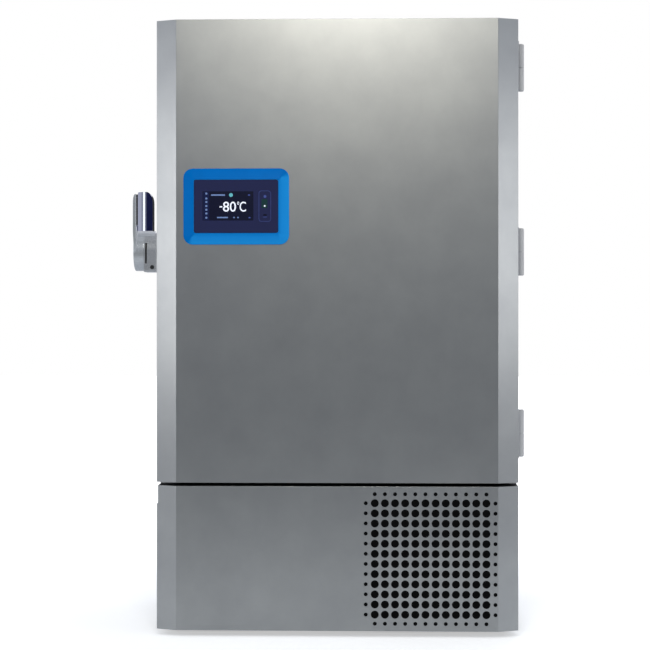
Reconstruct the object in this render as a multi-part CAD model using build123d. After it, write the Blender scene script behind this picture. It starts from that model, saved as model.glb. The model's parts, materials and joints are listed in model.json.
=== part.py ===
from build123d import *
import math
import os

# Upright ultra low temperature freezer, in millimetres.
# While the pieces are made, x = 0 is the cabinet's middle, y = 0 is the front rim that the
# door closes on, with +y to the back, and z = 0 is the floor. At the end the whole object is
# moved so that its origin is the middle of its bounding box, on the floor.

# Cabinet skins
body_w = 1164.0  # over the side panels
body_d = 822.0  # from the front rim to the back
body_top = 1975.0  # floor to the top panel
sheet = 1.5  # every folded steel skin
side_bottom = 60.0  # lower edge of the side panels
side_flange = 60.0  # front flange of a side panel, which the gasket closes on
top_flange = 80.0
sill_flange = 60.0

# Cold box
cold_wall = 74.0  # insulation with its skins, at each side
cold_floor = 82.0  # above the floor pan
cold_roof = 105.0
cold_back = 97.0
liner_t = 1.2
collar_t = 10.0
lip_t = 4.0
lip_depth = 40.0

# Machine room and base
deck_bottom = 125.0  # the casters' mounting height
deck_t = 4.0
apron_bottom = 15.0
apron_side_gap = 8.0  # to the pad of a levelling foot
rail_h = 36.0
rail_w = 30.0
rail_t = 3.0
post_w = 40.0
post_t = 3.0
pan_top = 488.0  # top of the floor pan, under the cold box
pan_t = 4.0
mouth_w = body_w - 2 * cold_wall
mouth_bottom = pan_top + cold_floor
mouth_h = body_top - cold_roof - mouth_bottom
liner_depth = body_d - cold_back  # front rim to the liner's back wall

# Door
gasket_gap = 10.0  # rim to the door's back plane
door_t = 118.0
door_past = 6.0  # how far the door reaches over the cabinet's top and short of the pan
door_bottom = pan_top + door_past
door_top = body_top + door_past
bevel_w = 66.0
bevel_d = 30.0
inner_panel_t = 3.0
boss_h = 30.0
boss_clear = 10.0
boss_taper = 12.0
gasket_out = 37.0  # mouth edge to the middle of the gasket
gasket_base_w = 24.0
gasket_neck_w = 14.0
gasket_head_w = 22.0
gasket_base_t = 3.0
gasket_neck_t = 3.0
seat_gap = 0.3  # between faces of bodies that move past each other

# Outer hinges
low_hinge_in = 154.0  # from the door's lower edge
high_hinge_in = 143.0  # from its upper edge
middle_hinge_z = 1238.0
hinge_levels = (door_bottom + low_hinge_in, middle_hinge_z, door_top - high_hinge_in)
hinge_len = 154.0
hinge_out = 14.0  # axis to the cabinet's side
barrel_r = 11.0
hinge_pin_r = 5.0
hinge_pin_len = 90.0
pin_fit = 0.05  # radial running clearance of pins and shafts
leaf_t = 4.0
leaf_w = 70.0
knuckle_gap = 1.0
barrel_chamfer = 3.0

# Latch
pivot_y = -60.0
pivot_z = 1238.0
housing_r = 62.0
housing_w = 39.0
housing_bottom = 1171.0
housing_back = -12.0
housing_round = 10.0
hub_r = 63.0
hub_w = 34.0
hub_gap = 0.5
hub_face = 18.0  # solid part of the hub, outside the hook
hub_wall = 5.0
hub_edge = 6.0
arm_w = 13.0
arm_top = 1420.0
arm_front = -146.0
arm_depth = 44.0
arm_shoulder = 12.0
grip_w = 50.0
grip_front = -152.0
grip_depth = 48.0
grip_top = 1426.0
grip_slit = 4.0
grip_shoulder = 24.0  # outer rounding of the top, towards the door
grip_slit_round = 4.0  # beside the slit
grip_foot_h = 20.0
shaft_r = 12.0
hook_t = 12.0
hook_disc_r = 40.0
hook_arm_h = 30.0
hook_nose = 17.0
hook_drop = 12.0
strike_y = 32.0
strike_below = 10.0  # strike pin under the lever's pivot
strike_r = 6.0
strike_clear = 2.0
strike_plate_t = 4.0
strike_plate_w = 44.0
strike_plate_h = 70.0
lock_r = 6.0
lock_z = 1186.0
lock_in = 12.0  # lock axis from the door's side
lock_len = 30.0
lock_proud = 2.0

# Display
display_in = 89.5  # from the door's latch side
display_z = 1380.0
bezel_w = 340.0
bezel_h = 244.0
bezel_r = 30.0
bezel_t = 14.0
bezel_slope = 26.0  # how far the front edge is inside the back edge
window_w = 271.0
window_h = 171.0
window_r = 10.0
glass_sunk = 2.5
glass_t = 3.0
module_w = 250.0
module_h = 150.0
module_d = 36.0
module_clear = 1.0

# Lower fascia
fascia_bottom = 20.0
fascia_gap = 11.0  # under the door
fascia_back = -6.0
fascia_pivot_in = 12.0
fascia_pivot_y = -20.0
fascia_pin_r = 4.0
fascia_pin_clear = 0.3
notch_w = 4.0
notch_h = 59.0
hole_count = 12
hole_pitch = 32.4
hole_r = 12.7
hole_sides = 8
small_hole_r = 6.35
small_hole_sides = 6
small_hole_out = 29.0
bracket_t = 5.0
bracket_reach = 12.0  # past the pivot
strap_t = 4.0
bracket_pin_len = 16.0
bracket_gap = 1.5

# Inner doors and shelves
inner_door_count = 4
inner_door_t = 18.0
inner_door_y = 32.0
inner_door_gap = 6.0
inner_pivot_in = 14.0
inner_pivot_back = 6.0
inner_pin_r = 3.0
inner_pin_len = 8.0
inner_recess = 4.0
inner_frame_w = 34.0
inner_bracket_t = 5.0
inner_bracket_out = 12.0
pull_w = 16.0
pull_h = 90.0
pull_t = 4.0
catch_w = 14.0
catch_d = 6.0
catch_h = 40.0
shelf_t = 1.5
shelf_lip = 20.0
shelf_front = 58.0
shelf_back_gap = 8.0
shelf_side_gap = 1.0
pilaster_d = 10.0
pilaster_w = 24.0
pilaster_t = 1.5
pilaster_front = 150.0
pilaster_back_in = 85.0  # from the liner's back
pilaster_end_gap = 20.0
clip_reach = 12.0
clip_h = 14.0
clip_w = 20.0

# Evaporator
coil_w = 8.0
coil_rings = 4
coil_first = 130.0
coil_last_in = 35.0  # from the liner's back

# Refrigeration plant
shell_r = 95.0
shell_h = 250.0
dome_r = 48.0
shell_chamfer = 14.0
high_stage_x = 60.0
low_stage_x = -190.0
compressor_y = 520.0
foot_plate_w = 220.0
foot_plate_d = 170.0
foot_plate_t = 4.0
grommet_r = 14.0
grommet_h = 18.0
grommet_sides = 8
grommet_x = 90.0
grommet_y = 65.0
condenser_in = 92.0  # from the hinge side
condenser_w = 380.0
condenser_top = 462.0
condenser_front = 68.0
condenser_d = 46.0
condenser_bottom_gap = 20.0
end_plate_t = 4.0
filter_d = 20.0
filter_frame = 14.0
filter_recess = 4.0
fan_r = 126.0
fan_clear = 6.0
shroud_t = 3.0
shroud_depth = 34.0
shroud_wall = 3.0
fan_z = 300.0
hub_fan_r = 30.0
fan_depth = 22.0
fan_gap = 5.0
blade_count = 5
blade_w = 46.0
blade_t = 3.0
blade_pitch = 26.0
blade_root = 24.0
fan_shaft_r = 5.0
fan_shaft_in = 20.0
strap_w = 26.0
motor_strap_t = 5.0
motor_r = 42.0
motor_len = 62.0
tube_r = 6.0
tube_bend = 30.0
discharge_in = 50.0  # from the hinge side
discharge_z = 330.0
interstage_z = 300.0
exchanger_in = 77.0  # from the latch side
exchanger_w = 150.0
exchanger_gap = 135.0  # to the control box
exchanger_d = 190.0
exchanger_h = 270.0
exchanger_round = 24.0
control_in = 87.0  # from the latch side
control_w = 110.0
control_back_gap = 40.5  # to the rear grille
control_d = 220.0
control_h = 290.0
control_lid = 3.0
control_lid_out = 4.0
battery_x = -250.0
battery_w = 151.0
battery_y = 110.0
battery_d = 98.0
battery_h = 94.0
terminal_w = 8.0
terminal_h = 7.0
terminal_t = 2.0

# Rear of the machine room
grille_bottom = 70.0
grille_inset = 4.0
louvre_rows = 8
louvre_side_in = 102.0  # from the cabinet's side
louvre_middle_in = 60.0
louvre_h = 12.0
louvre_pitch = 34.0
louvre_z = 300.0
entry_x = -30.0
entry_z = 150.0
entry_w = 96.0
entry_h = 50.0
entry_flange = 3.0
entry_rim = 5.0
entry_depth = 46.0
inlet_w = 34.0
inlet_h = 27.0
inlet_depth = 18.0
inlet_x = -22.0
contact_len = 12.0
contact_w = 3.0
contact_h = 8.0
rocker_x = 24.0
rocker_w = 22.0
rocker_h = 30.0
rocker_clear = 1.4
rocker_sunk = 5.0  # pivot behind the flange's face
rocker_dip = 1.5
rocker_tilt = 10.0  # each way from the middle
rocker_pin_r = 2.0
rocker_pin_half = 14.0  # half the length of the pin's bore
rocker_pocket = 17.0
rocker_pin_gap = 1.0  # at each end of the pin

# Casters and levelling feet
pin_sides = 8  # flats of every small pin and its bore
wheel_r = 50.0
wheel_w = 30.0
wheel_chamfer = 5.0
caster_in = 100.0  # from the cabinet's side
front_caster_y = 95.0
rear_caster_in = 102.0  # from the back
trail = 30.0
axle_r = 6.0
fork_t = 5.0
fork_gap = 3.0
fork_w = 40.0
fork_top = 112.0
fork_plate_t = 6.0
swivel_r = 26.0
swivel_gap = 0.3
foot_x_in = 27.0
foot_y = 34.0
foot_r = 20.0
foot_h = 12.0
foot_stem_r = 6.0
foot_stem_top = 172.0
foot_stem_clear = 0.3
foot_nut_r = 13.0
foot_nut_h = 12.0

# Worked out from the sizes above
half_w = body_w / 2
mouth_half = mouth_w / 2
mouth_top = mouth_bottom + mouth_h
deck_top = deck_bottom + deck_t
door_back = -gasket_gap
door_front = door_back - door_t
fascia_top = door_bottom - fascia_gap
fascia_middle = (fascia_bottom + fascia_top) / 2
hinge_x = half_w + hinge_out
hub_x = -half_w - housing_w - hub_gap - hub_w  # outer face of the lever's hub
hook_x = hub_x + hub_face
strike_z = pivot_z - strike_below
fascia_pivot_x = half_w - fascia_pivot_in
inner_pivot_x = mouth_half - inner_pivot_in
inner_pivot_y = inner_door_y + inner_pivot_back
bay_h = mouth_h / inner_door_count
caster_x = half_w - caster_in
rear_caster_y = body_d - rear_caster_in
display_x = -half_w + display_in + bezel_w / 2
pilaster_back = liner_depth - pilaster_back_in
coil_last = liner_depth - coil_last_in
condenser_x = half_w - condenser_in - condenser_w / 2
holes_x = condenser_x
discharge_x = half_w - discharge_in
control_x = -half_w + control_in + control_w / 2
control_y = body_d - sheet - control_back_gap - control_d / 2
exchanger_x = -half_w + exchanger_in + exchanger_w / 2
exchanger_y = control_y - control_d / 2 - exchanger_gap - exchanger_d / 2
louvre_w = half_w - louvre_side_in - louvre_middle_in
louvre_x = louvre_middle_in + louvre_w / 2
fan_front = condenser_front + condenser_d + shroud_t + fan_gap
shroud_back = condenser_front + condenser_d + shroud_t + shroud_depth
motor_front = shroud_back + motor_strap_t
shell_bottom = deck_top + grommet_h + foot_plate_t
entry_z_mid = grille_bottom + entry_z


def block(x, y, z):
    """A straight block between two limits along each axis."""
    limits = (x, y, z)
    middle = [(low + high) / 2 for low, high in limits]
    return Pos(*middle) * Box(*[high - low for low, high in limits])


def rod(radius, start, direction, length):
    """A round bar from its start point along a direction."""
    low_end = (Align.CENTER, Align.CENTER, Align.MIN)
    return Plane(origin=start, z_dir=direction) * Cylinder(radius, length, align=low_end)


def pin(radius, start, direction, length):
    """A small pin, with eight flats inside its round."""
    outline = RegularPolygon(radius, pin_sides)
    return extrude(Plane(origin=start, z_dir=direction) * outline, length)


def pin_bore(radius, start, direction, length):
    """The bore that a small pin turns in, with its flats outside the pin's round."""
    return pin((radius + pin_fit) / math.cos(math.pi / pin_sides), start, direction, length)


def plan_prism(outline, z):
    """An outline seen from above, raised between two heights."""
    return Pos(0, 0, z[0]) * extrude(outline, z[1] - z[0])


def front_prism(outline, y):
    """An outline seen from the front, between two depths."""
    return extrude(Plane.XZ.offset(-y[1]) * outline, y[1] - y[0])


def side_prism(outline, x):
    """An outline in y and z, seen from the side, between two limits of x."""
    return extrude(Plane.YZ.offset(x[0]) * outline, x[1] - x[0])


def polygon(*points):
    return make_face(Polyline(*points, close=True))


def frame_ring(inner_w, inner_h, width, middle, y):
    """A rectangular ring seen from the front, with the given border width."""
    ring = Rectangle(inner_w + 2 * width, inner_h + 2 * width) - Rectangle(inner_w, inner_h)
    return front_prism(Pos(*middle) * ring, y)


def mirrored(piece):
    return mirror(piece, about=Plane.YZ)


def around(middle, width):
    return middle - width / 2, middle + width / 2


def front_outline(y_back):
    """Plan of the door and the fascia: a flat front with a bevel down each side."""
    return polygon(
        (-half_w, y_back),
        (-half_w, door_front + bevel_d),
        (-half_w + bevel_w, door_front),
        (half_w - bevel_w, door_front),
        (half_w, door_front + bevel_d),
        (half_w, y_back),
    )


def front_core(y_back, z):
    """The room inside a folded front of this plan, up to its open back."""
    inside = offset(front_outline(y_back + sheet), -sheet, kind=Kind.INTERSECTION)
    return plan_prism(inside, (z[0] + sheet, z[1] - sheet))


def folded_front(y_back, z):
    """A folded steel front with returns on all four sides, open at the back."""
    return plan_prism(front_outline(y_back), z) - front_core(y_back, z)


# Cabinet skins


def side_panel():
    """Right side panel with its front flange."""
    skin = block((half_w - sheet, half_w), (0, body_d), (side_bottom, body_top))
    flange = block((half_w - side_flange, half_w), (0, sheet), (deck_top, body_top))
    return skin + flange


def top_panel():
    profile = polygon(
        (0, body_top - top_flange),
        (sheet, body_top - top_flange),
        (sheet, body_top - sheet),
        (body_d - sheet, body_top - sheet),
        (body_d - sheet, body_top),
        (0, body_top),
    )
    inner = half_w - side_flange
    folded = side_prism(profile, (-inner, inner))
    wings = block((-half_w + sheet, half_w - sheet), (sheet, body_d - sheet), (body_top - sheet, body_top))
    return folded + wings


def rear_panel():
    return block((-half_w + sheet, half_w - sheet), (body_d - sheet, body_d), (pan_top, body_top))


def machine_room_frame():
    """Four angle posts and the floor pan that carries the cold box, with its sill flange."""
    wide = half_w - sheet
    back = body_d - sheet
    pan = block((-wide, wide), (sheet, back), (pan_top - pan_t, pan_top))
    flange_half = half_w - side_flange
    sill = block((-flange_half, flange_half), (0, sheet), (pan_top - pan_t, pan_top - pan_t + sill_flange))
    frame = pan + sill
    angle = polygon((0, 0), (post_w, 0), (post_w, post_t), (post_t, post_t), (post_t, post_w), (0, post_w))
    height = (deck_top, pan_top - pan_t)
    for x, y, turn in ((-wide, sheet, 0), (wide, sheet, 90), (wide, back, 180), (-wide, back, 270)):
        frame += Pos(x, y, 0) * Rot(0, 0, turn) * plan_prism(angle, height)
    return frame


def base_frame():
    """Deck plate with two folded side rails, a front apron and the nuts of the levelling feet."""
    wide = half_w - sheet
    back = body_d - sheet
    deck = block((-wide, wide), (strap_t, back), (deck_bottom, deck_top))
    apron_half = foot_x(1) - foot_r - apron_side_gap
    deck += block((-apron_half, apron_half), (strap_t, strap_t + sheet), (apron_bottom, deck_bottom))
    for side in (-1, 1):
        nut = (foot_x(side), foot_y, deck_bottom - foot_nut_h)
        deck += Pos(*nut) * extrude(RegularPolygon(foot_nut_r, 6), foot_nut_h)
        deck -= pin_bore(foot_stem_r + foot_stem_clear, nut, (0, 0, 1), deck_top)
        inner = wide - post_w - rail_w
        rail = polygon(
            (inner, deck_top),
            (inner, deck_top + rail_h),
            (inner + rail_w, deck_top + rail_h),
            (inner + rail_w, deck_top + rail_h - rail_t),
            (inner + rail_t, deck_top + rail_h - rail_t),
            (inner + rail_t, deck_top),
        )
        channel = front_prism(rail, (post_w + sheet, back - post_w))
        deck += channel if side > 0 else mirrored(channel)
    return deck


def machine_rear_grille():
    """Rear cover with two fields of air slots and the opening of the power entry."""
    wide = half_w - sheet - grille_inset
    cover = block((-wide, wide), (body_d - sheet, body_d), (grille_bottom, pan_top - grille_inset))
    slots = Sketch()
    for side in (-1, 1):
        grid = GridLocations(0, louvre_pitch, 1, louvre_rows)
        slots += Pos(side * louvre_x, louvre_z) * grid * Rectangle(louvre_w, louvre_h)
    cover -= front_prism(slots, (body_d - sheet, body_d))
    opening = Pos(entry_x, entry_z_mid) * Rectangle(entry_w, entry_h)
    return cover - front_prism(opening, (body_d - sheet, body_d))


# Cold box


def mouth_ring(width, y):
    return frame_ring(mouth_w, mouth_h, width, (0, mouth_bottom + mouth_h / 2), y)


def breaker_collar():
    """Plastic frame from the liner's mouth to the steel rim, with a lip into the mouth."""
    wide = half_w - sheet
    behind = block((-wide, wide), (sheet, sheet + collar_t), (pan_top, body_top - sheet))
    flange_half = half_w - side_flange
    sill_top = pan_top - pan_t + sill_flange
    land = block((-flange_half, flange_half), (0, sheet), (sill_top, body_top - top_flange))
    mouth = block((-mouth_half, mouth_half), (0, lip_depth), (mouth_bottom, mouth_top))
    return behind + land + mouth_ring(lip_t, (sheet, lip_depth)) - mouth


def liner_block(grow, y):
    return block(
        (-mouth_half - grow, mouth_half + grow),
        y,
        (mouth_bottom - grow, mouth_top + grow),
    )


def inner_liner():
    outer = liner_block(liner_t, (lip_depth, liner_depth + liner_t))
    return outer - liner_block(0, (lip_depth, liner_depth))


def evaporator_coil():
    """Tube rings clamped round the liner, joined along its top by a header."""
    coil = Part()
    step = (coil_last - coil_first) / (coil_rings - 1)
    for ring in range(coil_rings):
        y = coil_first + ring * step
        outer = liner_block(liner_t + coil_w, (y, y + coil_w))
        coil += outer - liner_block(liner_t, (y, y + coil_w))
    top = mouth_top + liner_t
    coil += block((-coil_w / 2, coil_w / 2), (coil_first, coil_last + coil_w), (top, top + coil_w))
    return coil


def foam_insulation(coil):
    wide = half_w - sheet
    full = block((-wide, wide), (sheet + collar_t, body_d - sheet), (pan_top, body_top - sheet))
    throat = liner_block(lip_t, (sheet, lip_depth))
    cold_room = liner_block(liner_t, (lip_depth, liner_depth + liner_t))
    return full - throat - cold_room - coil


def shelf_height(level):
    """Top face of a shelf, counted from 1 at the bottom."""
    return mouth_bottom + level * bay_h + shelf_lip / 2


def shelf_supports():
    """Four U-shaped pilasters on the side walls, and the clips that carry the shelves."""
    pieces = []
    width = pilaster_w / 2
    channel = polygon(
        (mouth_half, -width),
        (mouth_half - pilaster_d, -width),
        (mouth_half - pilaster_d, width),
        (mouth_half, width),
        (mouth_half, width - pilaster_t),
        (mouth_half - pilaster_d + pilaster_t, width - pilaster_t),
        (mouth_half - pilaster_d + pilaster_t, -width + pilaster_t),
        (mouth_half, -width + pilaster_t),
    )
    height = (mouth_bottom + pilaster_end_gap, mouth_top - pilaster_end_gap)
    face = mouth_half - pilaster_d
    for y in (pilaster_front, pilaster_back):
        pilaster = Pos(0, y, 0) * plan_prism(channel, height)
        pieces += [pilaster, mirrored(pilaster)]
        for level in range(1, inner_door_count):
            under = shelf_height(level) - shelf_lip
            across = (y - clip_w / 2, y + clip_w / 2)
            seat = block((face - clip_reach, face), across, (under - clip_h, under))
            low_edge = seat.edges().filter_by(Axis.Y).sort_by(Axis.X)[:2].sort_by(Axis.Z)[:1]
            clip = chamfer(low_edge, clip_reach * 0.6)
            pieces += [clip, mirrored(clip)]
    return pieces


def storage_shelves():
    """Folded pans with a lip on all four sides."""
    shelves = []
    wide = mouth_half - pilaster_d - shelf_side_gap
    y = (shelf_front, liner_depth - shelf_back_gap)
    for level in range(1, inner_door_count):
        top = shelf_height(level)
        pan = block((-wide, wide), y, (top - shelf_lip, top))
        inside = block(
            (-wide + shelf_t, wide - shelf_t),
            (y[0] + shelf_t, y[1] - shelf_t),
            (top - shelf_lip, top - shelf_t),
        )
        shelves.append(pan - inside)
    return shelves


def bay(level):
    """Lower and upper edge of an inner door."""
    low = mouth_bottom + level * bay_h
    return low + inner_door_gap, low + bay_h - inner_door_gap


def inner_door(level):
    """Insulated inner door: a frame round a recessed panel, with a finger pull."""
    low, high = bay(level)
    left, right = -mouth_half + inner_door_gap, mouth_half - inner_door_gap
    y = (inner_door_y, inner_door_y + inner_door_t)
    door = block((left, right), y, (low, high))
    recess = block(
        (left + inner_frame_w, right - inner_frame_w),
        (y[0], y[0] + inner_recess),
        (low + inner_frame_w, high - inner_frame_w),
    )
    middle = (low + high) / 2
    pull = block(
        (left + inner_frame_w / 2 - pull_w / 2, left + inner_frame_w / 2 + pull_w / 2),
        (y[0] - pull_t, y[0]),
        (middle - pull_h / 2, middle + pull_h / 2),
    )
    door = door - recess + pull
    for end, up in ((low, 1), (high, -1)):
        start = (inner_pivot_x, inner_pivot_y, end)
        door -= pin_bore(inner_pin_r, start, (0, 0, up), inner_pin_len)
    return door


def inner_door_hinges():
    """Brackets on the right wall, between the inner doors, with a pin up and a pin down."""
    hinges = []
    for level in range(inner_door_count + 1):
        z = mouth_bottom + level * bay_h
        low, high = z - inner_bracket_t / 2, z + inner_bracket_t / 2
        if level == 0:
            low, high = z, z + inner_bracket_t
        if level == inner_door_count:
            low, high = z - inner_bracket_t, z
        reach = (inner_pivot_x - inner_bracket_out / 2, mouth_half)
        depth = (inner_pivot_y - inner_bracket_out / 2, inner_pivot_y + inner_bracket_out / 2)
        bracket = block(reach, depth, (low, high))
        length = inner_door_gap + inner_pin_len - 1
        if level < inner_door_count:
            bracket += pin(inner_pin_r, (inner_pivot_x, inner_pivot_y, z), (0, 0, 1), length)
        if level > 0:
            bracket += pin(inner_pin_r, (inner_pivot_x, inner_pivot_y, z), (0, 0, -1), length)
        hinges.append(bracket)
    return hinges


def inner_door_catches():
    """Magnet blocks on the left wall, just behind each inner door."""
    catches = []
    back = inner_door_y + inner_door_t + seat_gap
    for level in range(inner_door_count):
        low, high = bay(level)
        middle = (low + high) / 2
        catches.append(
            block(
                (-mouth_half, -mouth_half + catch_w),
                (back, back + catch_d),
                (middle - catch_h / 2, middle + catch_h / 2),
            )
        )
    return catches


# Outer door


def display_module():
    back = door_front - bezel_t + glass_sunk + glass_t
    outline = Pos(display_x, display_z) * Rectangle(module_w, module_h)
    return front_prism(outline, (back, back + module_d))


def module_room():
    outline = Pos(display_x, display_z) * Rectangle(module_w + 2 * module_clear, module_h + 2 * module_clear)
    back = door_front - bezel_t + glass_sunk + glass_t
    return front_prism(outline, (door_front - bezel_t, back + module_d))


def door_skin():
    return folded_front(door_back, (door_bottom, door_top)) - module_room()


def boss(shrink, height):
    """The raised middle of the inner panel, with its sides drawn in."""
    outline = Rectangle(
        mouth_w - 2 * (boss_clear + shrink),
        mouth_h - 2 * (boss_clear + shrink),
    )
    base = Plane(origin=(0, door_back, mouth_bottom + mouth_h / 2), x_dir=(-1, 0, 0), z_dir=(0, 1, 0))
    return extrude(base * outline, height, taper=boss_taper)


def door_inner_panel():
    wide = half_w - sheet
    plate = block(
        (-wide, wide),
        (door_back - inner_panel_t, door_back),
        (door_bottom + sheet, door_top - sheet),
    )
    core = boss(inner_panel_t, boss_h - inner_panel_t)
    wide_core = mouth_half - boss_clear - inner_panel_t
    opening = block(
        (-wide_core, wide_core),
        (door_back - inner_panel_t, door_back),
        (mouth_bottom + boss_clear + inner_panel_t, mouth_top - boss_clear - inner_panel_t),
    )
    return plate + boss(0, boss_h) - core - opening


def door_foam(panel):
    wide_core = mouth_half - boss_clear - inner_panel_t
    body = front_core(door_back, (door_bottom, door_top))
    raised = boss(inner_panel_t, boss_h - inner_panel_t) + block(
        (-wide_core, wide_core),
        (door_back - inner_panel_t, door_back),
        (mouth_bottom + boss_clear + inner_panel_t, mouth_top - boss_clear - inner_panel_t),
    )
    return body + raised - panel - module_room()


def door_gasket():
    """Magnetic gasket with a wide base, a narrow neck and a flat head."""
    head_end = -seat_gap
    neck_end = door_back + gasket_base_t + gasket_neck_t
    gasket = Part()
    steps = (
        (gasket_base_w, door_back, door_back + gasket_base_t),
        (gasket_neck_w, door_back + gasket_base_t, neck_end),
        (gasket_head_w, neck_end, head_end),
    )
    middle = (0, mouth_bottom + mouth_h / 2)
    for width, start, end in steps:
        inner = 2 * gasket_out - width
        gasket += frame_ring(mouth_w + inner, mouth_h + inner, width, middle, (start, end))
    return gasket


def barrel(z):
    """A hinge knuckle between two heights, at the door's axis."""
    return rod(barrel_r, (hinge_x, 0, z[0]), (0, 0, 1), z[1] - z[0])


def hinge_leaf(level, side):
    """One leaf with its knuckle: side 1 is the cabinet's, behind and below, side -1 the door's."""
    clear = barrel_r + knuckle_gap
    low, high = level - hinge_len / 2, level + hinge_len / 2
    own, other = ((low, level), (level, high))[::side]
    plate = block((half_w, half_w + leaf_t), sorted((0, side * leaf_w)), own)
    plate += block((half_w, half_w + leaf_t), sorted((side * clear, side * leaf_w)), other)
    gap = knuckle_gap / 2
    knuckle = barrel((low, level - gap) if side > 0 else (level + gap, high))
    rim = knuckle.edges().filter_by(GeomType.CIRCLE).sort_by(Axis.Z)[0 if side > 0 else -1]
    knuckle = chamfer(rim, barrel_chamfer)
    bore = pin_bore(hinge_pin_r, (hinge_x, 0, level - hinge_pin_len / 2), (0, 0, 1), hinge_pin_len)
    return plate + knuckle - bore


def hinge_leaves(side):
    return [hinge_leaf(level, side) for level in hinge_levels]


def hinge_pins():
    length = hinge_pin_len - knuckle_gap
    return [pin(hinge_pin_r, (hinge_x, 0, z - length / 2), (0, 0, 1), length) for z in hinge_levels]


# Latch, on the left edge of the door


def handle_housing():
    """Bearing housing of the lever: round at the top front, so that the grip passes over it."""
    top_front = math.radians(135)
    along = (pivot_y + housing_r * math.cos(top_front), pivot_z + housing_r * math.sin(top_front))
    front = pivot_y - housing_r
    edge = Polyline(
        (front, pivot_z),
        (front, housing_bottom),
        (housing_back, housing_bottom),
        (housing_back, pivot_z + housing_r),
        (pivot_y, pivot_z + housing_r),
    )
    bend = ThreePointArc((pivot_y, pivot_z + housing_r), along, (front, pivot_z))
    x = (-half_w - housing_w, -half_w)
    housing = side_prism(make_face(Curve() + [edge, bend]), x)
    corner = housing.edges().filter_by(Axis.X).group_by(Axis.Z)[0]
    housing = fillet(corner, housing_round)
    housing -= rod(shaft_r + pin_fit, (x[0], pivot_y, pivot_z), (1, 0, 0), housing_w)
    lock_x = -half_w - lock_in
    return housing - pin_bore(lock_r, (lock_x, front, lock_z), (0, 1, 0), lock_len)


def lock_cylinder():
    """Key barrel with its key slot."""
    front = pivot_y - housing_r - lock_proud
    lock_x = -half_w - lock_in
    key = rod(lock_r, (lock_x, front, lock_z), (0, 1, 0), lock_len + lock_proud - 1)
    slot = block(around(lock_x, lock_r / 3), (front, front + lock_r), around(lock_z, lock_r * 1.4))
    return key - slot


def handle_lever():
    """Round hub with a hollow for the hook, and the arm that rises beside the grip."""
    hub = rod(hub_r, (hub_x, pivot_y, pivot_z), (1, 0, 0), hub_w)
    hub = chamfer(hub.edges().filter_by(GeomType.CIRCLE).sort_by(Axis.X)[0], hub_edge)
    hollow = rod(hub_r - hub_wall, (hook_x, pivot_y, pivot_z), (1, 0, 0), hub_w)
    height = (pivot_z - hub_r, pivot_z + hub_r)
    hook_way = block((hook_x, hub_x + hub_w), (pivot_y, pivot_y + 2 * hub_r), height)
    outline = polygon(
        (arm_front, pivot_z + hub_r),
        (arm_front, arm_top),
        (arm_front + arm_depth / 2, arm_top),
        (arm_front + arm_depth, arm_top - arm_depth),
        (pivot_y + hub_r / 3, pivot_z),
        (pivot_y - hub_r, pivot_z),
    )
    arm = side_prism(outline, (hub_x, hub_x + arm_w))
    shoulder = arm.edges().filter_by(Axis.Y).group_by(Axis.Z)[-1].sort_by(Axis.X)[0]
    return hub - hollow - hook_way + fillet(shoulder, arm_shoulder)


def handle_grip():
    """Chrome grip with a round shoulder, joined to the arm by a foot at its lower end."""
    left = hub_x + arm_w + grip_slit
    bottom = pivot_z + hub_r
    outline = Pos(left + grip_w / 2, (bottom + grip_top) / 2) * Rectangle(grip_w, grip_top - bottom)
    grip = front_prism(outline, (grip_front, grip_front + grip_depth))
    for end, rounding in ((0, grip_slit_round), (-1, grip_shoulder)):
        shoulders = grip.edges().filter_by(Axis.Y).group_by(Axis.Z)[-1].sort_by(Axis.X)
        grip = fillet(shoulders[end], rounding)
    foot = block(
        (hub_x + arm_w, left + grip_slit),
        (arm_front + grip_slit, grip_front + grip_depth),
        (bottom, bottom + grip_foot_h),
    )
    return grip + foot


def latch_hook():
    """Hook plate on its shaft, which turns in the housing."""
    x = (hook_x, hook_x + hook_t)
    half = strike_r + strike_clear
    nose = strike_y + half + hook_nose
    outline = polygon(
        (pivot_y, pivot_z + hook_arm_h / 2),
        (nose, pivot_z + hook_arm_h / 2),
        (nose, strike_z - hook_drop),
        (strike_y + half, strike_z - hook_drop),
        (strike_y + half, strike_z + half),
        (strike_y - half, strike_z + half),
        (strike_y - half, pivot_z - hook_arm_h / 2),
        (pivot_y, pivot_z - hook_arm_h / 2),
    )
    plate = side_prism(outline, x) + rod(hook_disc_r, (x[0], pivot_y, pivot_z), (1, 0, 0), hook_t)
    shaft_end = -half_w - hub_gap
    return plate + rod(shaft_r, (x[1], pivot_y, pivot_z), (1, 0, 0), shaft_end - x[1])


def latch_strike():
    """Plate on the cabinet's left side, with the pin that the hook drops behind."""
    plate = block(
        (-half_w - strike_plate_t, -half_w),
        (strike_y - strike_plate_w / 2, strike_y + strike_plate_w / 2),
        (strike_z - strike_plate_h / 2, strike_z + strike_plate_h / 2),
    )
    plate = chamfer(plate.edges().filter_by(Axis.X), strike_plate_t)
    return plate + rod(strike_r, (-half_w, strike_y, strike_z), (-1, 0, 0), -half_w - hook_x + strike_clear)


# Display


def display_bezel():
    """Raised frame that narrows towards the viewer, round the window."""
    centre = Pos(display_x, display_z)
    back = Plane.XZ.offset(-door_front) * centre * RectangleRounded(bezel_w, bezel_h, bezel_r)
    front_w, front_h = bezel_w - 2 * bezel_slope, bezel_h - 2 * bezel_slope
    front_r = bezel_r - bezel_slope / 2
    front = Plane.XZ.offset(-door_front + bezel_t) * centre * RectangleRounded(front_w, front_h, front_r)
    window = centre * RectangleRounded(window_w, window_h, window_r)
    return loft([back, front], ruled=True) - front_prism(window, (door_front - bezel_t, door_front))


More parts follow.
